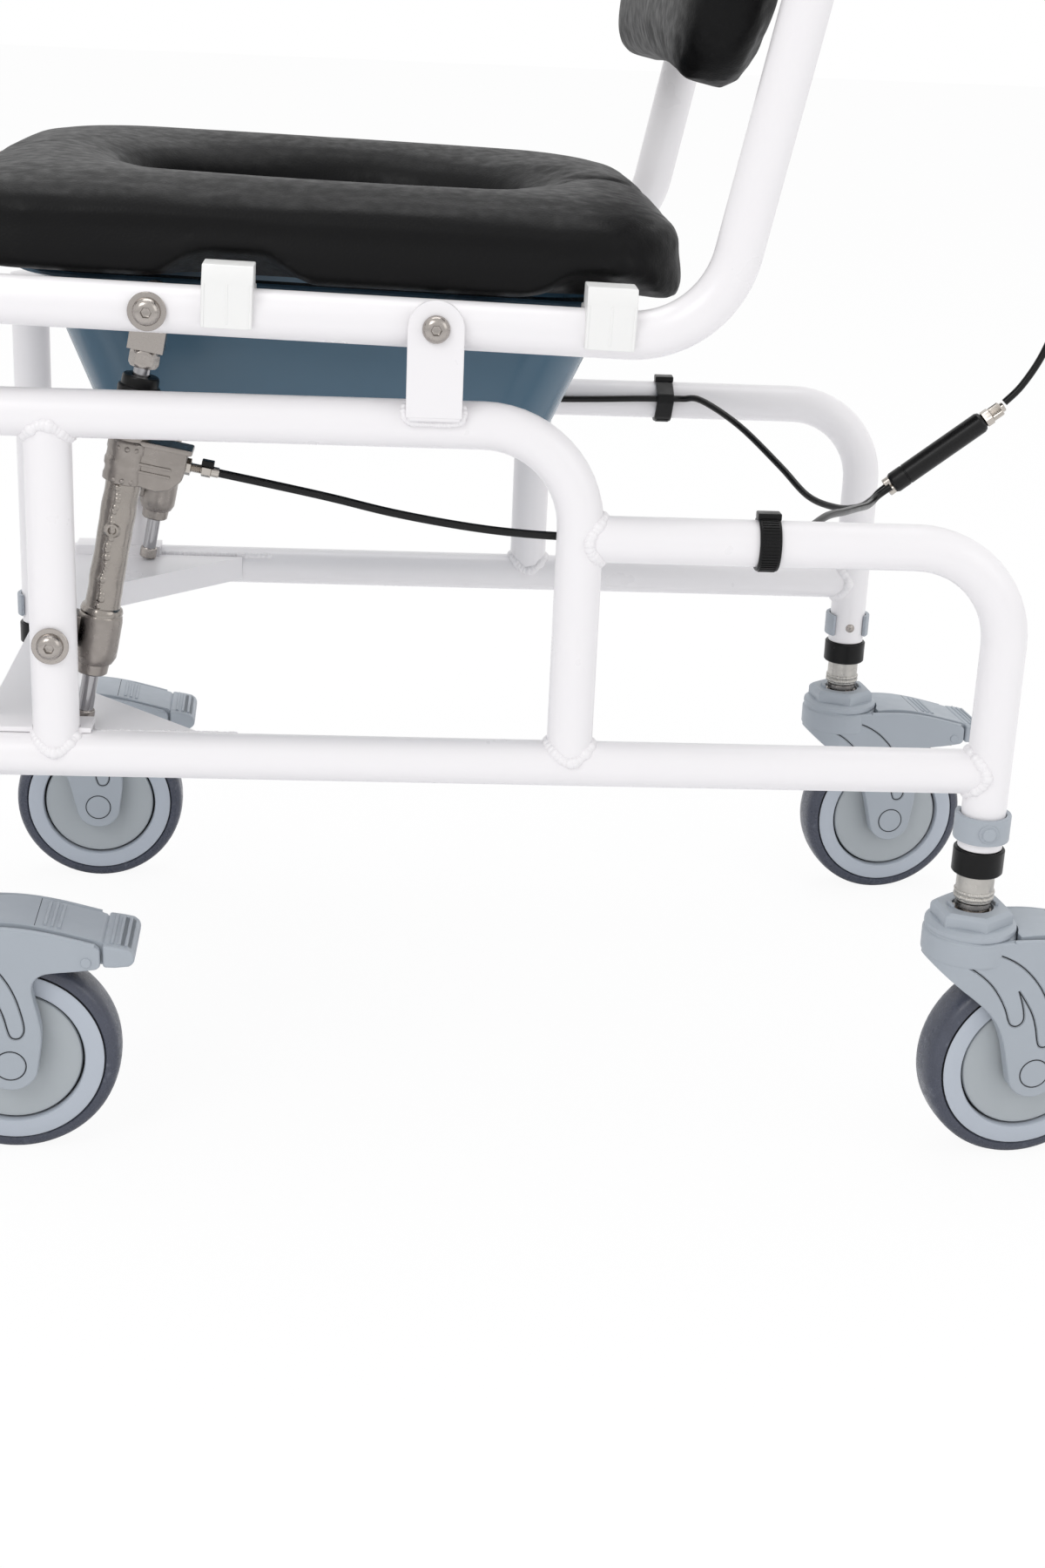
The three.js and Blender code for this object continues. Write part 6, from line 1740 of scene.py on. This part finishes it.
SPLITTER_TO = Vector((33, 0, 443))


def cable(name, route, out, node):
    """A cable's sleeve along its route, riding the base."""
    line = smooth_line([(x, out * y, z) for x, y, z in route], 6)
    mesh = tubes([line], CABLE_R, 0.0, 16, 1, "gloss_black_sleeve")
    made = piece(name, mesh, ["gloss_black_sleeve"], "base", node, "black_rubber", CHAIR, SOFT_DEG)
    path = [CHAIR @ Vector(p) for p in line]
    length = sum((b - a).length for a, b in zip(path, path[1:]))
    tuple(path[0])
    return made, path


def splitter():
    """The barrel that joins the two release cables to the lever's cable."""
    way = (SPLITTER_TO - SPLITTER_FROM).normalized()
    length = (SPLITTER_TO - SPLITTER_FROM).length
    barrel = turned([
        (4.6, 0), (6.4, 0.4), (7.5, 2.4), (7.5, 11.4), (7.15, 11.7), (7.15, 12.3), (7.5, 12.6),
        (7.5, length - 3.4), (6.6, length - 1.2), (4.6, length),
    ])
    nut_part = loft([
        circle(4.6, length), hexagon(6.0, length + 0.4), hexagon(6.0, length + 5.4),
        circle(5.0, length + 5.8),
    ])
    knurl = []
    for z, radius in ((length + 5.8, 4.6), (length + 6.4, 5.0), (length + 13.4, 5.0),
                      (length + 14.0, 4.4)):
        ring = circle(radius, z, 72)
        for i, point in enumerate(ring):
            if i % 2:
                point.x *= 0.93
                point.y *= 0.93
        knurl.append(ring)
    ferrule = loft(knurl)
    tail = turned([(3.4, length + 13.6), (3.4, length + 15.8), (2.9, length + 16.4)], 32)
    mouths = [
        shifted(turned([(2.6, -4.4), (3.4, -4), (3.4, 0.6)], 24), 0, s * 3.2, 0) for s in OUTS
    ]
    turn = along(SPLITTER_FROM, SPLITTER_FROM + way)
    whole = joined([(barrel, 0), (nut_part, 1), (ferrule, 1), (tail, 1), *[(m, 1) for m in mouths]])
    return moved(whole, turn)


def cable_strap(x, out, cable_place):
    """A ladder strap round the rail and the cable, with its ribs and its buckle."""
    inward, rise = FRAME_HALF - cable_place[1], cable_place[2] - MID_Z
    apart = math.hypot(inward, rise)
    facing_deg = math.degrees(math.atan2(rise, -inward))
    rail_r, cable_r, wall, width = TUBE_R + GAP, CABLE_R + 0.6, 2.2, 13.0

    def loop(grow):
        half = math.degrees(math.acos((rail_r - cable_r) / apart))
        outline = arc((0, 0), rail_r + grow, facing_deg + half, facing_deg - half + 360, 64)
        outline += arc((-inward, rise), cable_r + grow, facing_deg - half, facing_deg + half, 10)
        return outline

    inner, outer = loop(0.0), loop(wall)
    skin = loft([
        [Vector((a, b, z)) for a, b in line]
        for line, z in ((inner, 0), (inner, width), (loop(wall - 0.5), width), (outer, width - 0.6),
                        (outer, 0.6), (loop(wall - 0.5), 0))
    ], around=True)
    teeth = []
    for i in range(0, 64, 2):
        turn = math.radians(facing_deg + 70 + i * 3.4)
        tooth = block((rail_r + wall - 0.4, -0.55, 1.6), (rail_r + wall + 0.5, 0.55, width - 1.6),
                      0.2, 1)
        teeth.append(moved(tooth, Matrix.Rotation(turn, 4, "Z")))
    buckle = block((rail_r + 0.5, -5.0, -0.6), (rail_r + wall + 2.6, 5.0, width + 0.6), 0.8, 2)
    buckle = moved(buckle, Matrix.Rotation(math.radians(92), 4, "Z"))
    turn = Matrix(((0, 0, 1, x - width / 2), (out, 0, 0, out * FRAME_HALF), (0, 1, 0, MID_Z),
                   (0, 0, 0, 1)))
    return moved(joined([skin, *teeth, buckle]), turn)


class CHAIR_OT_cables(bpy.types.Operator):
    """Builds the release cables, the splitter and the straps"""

    bl_idname = "chair.cables"
    bl_label = "Cables"

    def execute(self, context):
        cable("left_cable_sleeve", NEAR_ROUTE, -1, "left_release_cable")
        cable("right_cable_sleeve", FAR_ROUTE, 1, "right_release_cable")
        made, path = cable("lever_cable_sleeve", LEVER_ROUTE, 1, "lever_cable")
        made.parent = None
        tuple(path[6])
        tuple(path[-40])
        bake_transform(made)
        piece("cable_joiner", splitter(), ["gloss_black_sleeve", "nickel_brass"], "base",
              "cable_splitter", "black_rubber", CHAIR)
        for name, x, route in (("left", -151.0, NEAR_ROUTE), ("right", -163.0, FAR_ROUTE)):
            piece(f"{name}_ladder_strap", cable_strap(x, SIDES[name], route[STRAPPED]),
                  ["black_plastic"], "base", f"{name}_cable_strap", "black_rubber", CHAIR)
        return {"FINISHED"}


# Stage

BACKDROP_EVENNESS = 0.93
SKY_LIGHT = 0.78
FLOOR_HALF = 14.0
# Name, place, aim, width and power of each lamp, in metres and watts.
LAMPS = (
    ("key_softbox", (-1.5, -2.4, 2.7), (0, 0, 0.4), 1.6, 30.0),
    ("fill_softbox", (2.6, -1.6, 1.7), (0, 0, 0.4), 1.8, 9.0),
    ("top_softbox", (0.1, 0.5, 3.2), (0, 0, 0.3), 2.2, 30.0),
)


def backdrop_material():
    """Matt white paper, shown nearly evenly to the camera so that only a soft shadow is left."""
    material = bpy.data.materials.new("matt_white_backdrop")
    tree = empty_tree(material)
    paper = add_node(tree, "ShaderNodeBsdfDiffuse", {"Color": rgba(linear("#FAFAFB"))})
    glow = add_node(tree, "ShaderNodeEmission", {"Color": (1, 1, 1, 1), "Strength": 1.0})
    path = add_node(tree, "ShaderNodeLightPath")
    share = add_node(tree, "ShaderNodeMath", {
        0: path.outputs["Is Camera Ray"], 1: BACKDROP_EVENNESS}, operation="MULTIPLY")
    both = add_node(tree, "ShaderNodeMixShader", {
        0: share.outputs[0], 1: paper.outputs[0], 2: glow.outputs[0]})
    add_node(tree, "ShaderNodeOutputMaterial", {"Surface": both.outputs[0]})
    return material


class CHAIR_OT_stage(bpy.types.Operator):
    """Sets the photograph's camera, the soft light and the white floor"""

    bl_idname = "chair.stage"
    bl_label = "Stage"

    def execute(self, context):
        scene = bpy.context.scene
        lens = bpy.data.cameras.new("photo_camera")
        lens.sensor_width = SENSOR_MM
        lens.lens = PHOTO_FOCAL_PX * SENSOR_MM / max(PHOTO_SIZE)
        lens.clip_start, lens.clip_end = 0.05, 60.0
        turn = Matrix((CAMERA_RIGHT, CAMERA_UP, -CAMERA_AHEAD)).transposed().to_4x4()
        camera = new_object("photo_camera", lens)
        camera.matrix_world = Matrix.Translation(CHAIR @ Vector(CAMERA_AT)) @ turn
        scene.camera = camera

        floor = bpy.data.meshes.new("floor")
        floor.from_pydata([(a * FLOOR_HALF, b * FLOOR_HALF, 0)
                           for a, b in ((-1, -1), (1, -1), (1, 1), (-1, 1))], [], [(0, 1, 2, 3)])
        floor.materials.append(backdrop_material())
        new_object("floor", floor)

        for name, at, aim, width, power in LAMPS:
            light = bpy.data.lights.new(name, "AREA")
            light.shape = "SQUARE"
            light.size = width
            light.energy = power
            lamp = new_object(name, light)
            lamp.location = at
            lamp.rotation_euler = (Vector(aim) - Vector(at)).to_track_quat("-Z", "Y").to_euler()

        scene.world = bpy.data.worlds.new("white_studio")
        tree = empty_tree(scene.world)
        path = add_node(tree, "ShaderNodeLightPath")
        seen = add_node(tree, "ShaderNodeMath", {
            0: path.outputs["Is Camera Ray"], 1: path.outputs["Is Glossy Ray"]},
            operation="MAXIMUM")
        glow, white = [
            add_node(tree, "ShaderNodeBackground", {"Color": (1, 1, 1, 1), "Strength": strength})
            for strength in (SKY_LIGHT, 1.0)
        ]
        both = add_node(tree, "ShaderNodeMixShader", {
            0: seen.outputs[0], 1: glow.outputs[0], 2: white.outputs[0]})
        add_node(tree, "ShaderNodeOutputWorld", {"Surface": both.outputs[0]})
        scene.view_settings.view_transform = "Standard"
        return {"FINISHED"}


class CHAIR_PT_panel(bpy.types.Panel):
    """Lists the chair's parts, colours and sizes"""

    bl_idname = "CHAIR_PT_panel"
    bl_label = "Shower commode chair"
    bl_space_type = "VIEW_3D"
    bl_region_type = "UI"
    bl_category = "Chair"

    def draw(self, context):
        for operator in OPERATORS:
            self.layout.operator(operator.bl_idname)
        for group in (context.scene.chair_colours, context.scene.chair_sizes):
            for name in group.__annotations__:
                self.layout.prop(group, name)


OPERATORS = (
    CHAIR_OT_stage,
    CHAIR_OT_cables,
    CHAIR_OT_base,
    CHAIR_OT_pivot_bolts,
    CHAIR_OT_castors,
    CHAIR_OT_struts,
    CHAIR_OT_seat_frame,
    CHAIR_OT_pads,
    CHAIR_OT_pan,
)
CLASSES = (ChairColours, ChairSizes, *OPERATORS, CHAIR_PT_panel)


def register():
    for each in CLASSES:
        bpy.utils.register_class(each)
    bpy.types.Scene.chair_colours = bpy.props.PointerProperty(type=ChairColours)
    bpy.types.Scene.chair_sizes = bpy.props.PointerProperty(type=ChairSizes)


def unregister():
    del bpy.types.Scene.chair_colours
    del bpy.types.Scene.chair_sizes
    for each in reversed(CLASSES):
        bpy.utils.unregister_class(each)


def main():
    register()
    for operator in OPERATORS:
        group, name = operator.bl_idname.split(".")
        getattr(getattr(bpy.ops, group), name)()
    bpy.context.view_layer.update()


if __name__ == "__main__":
    main()
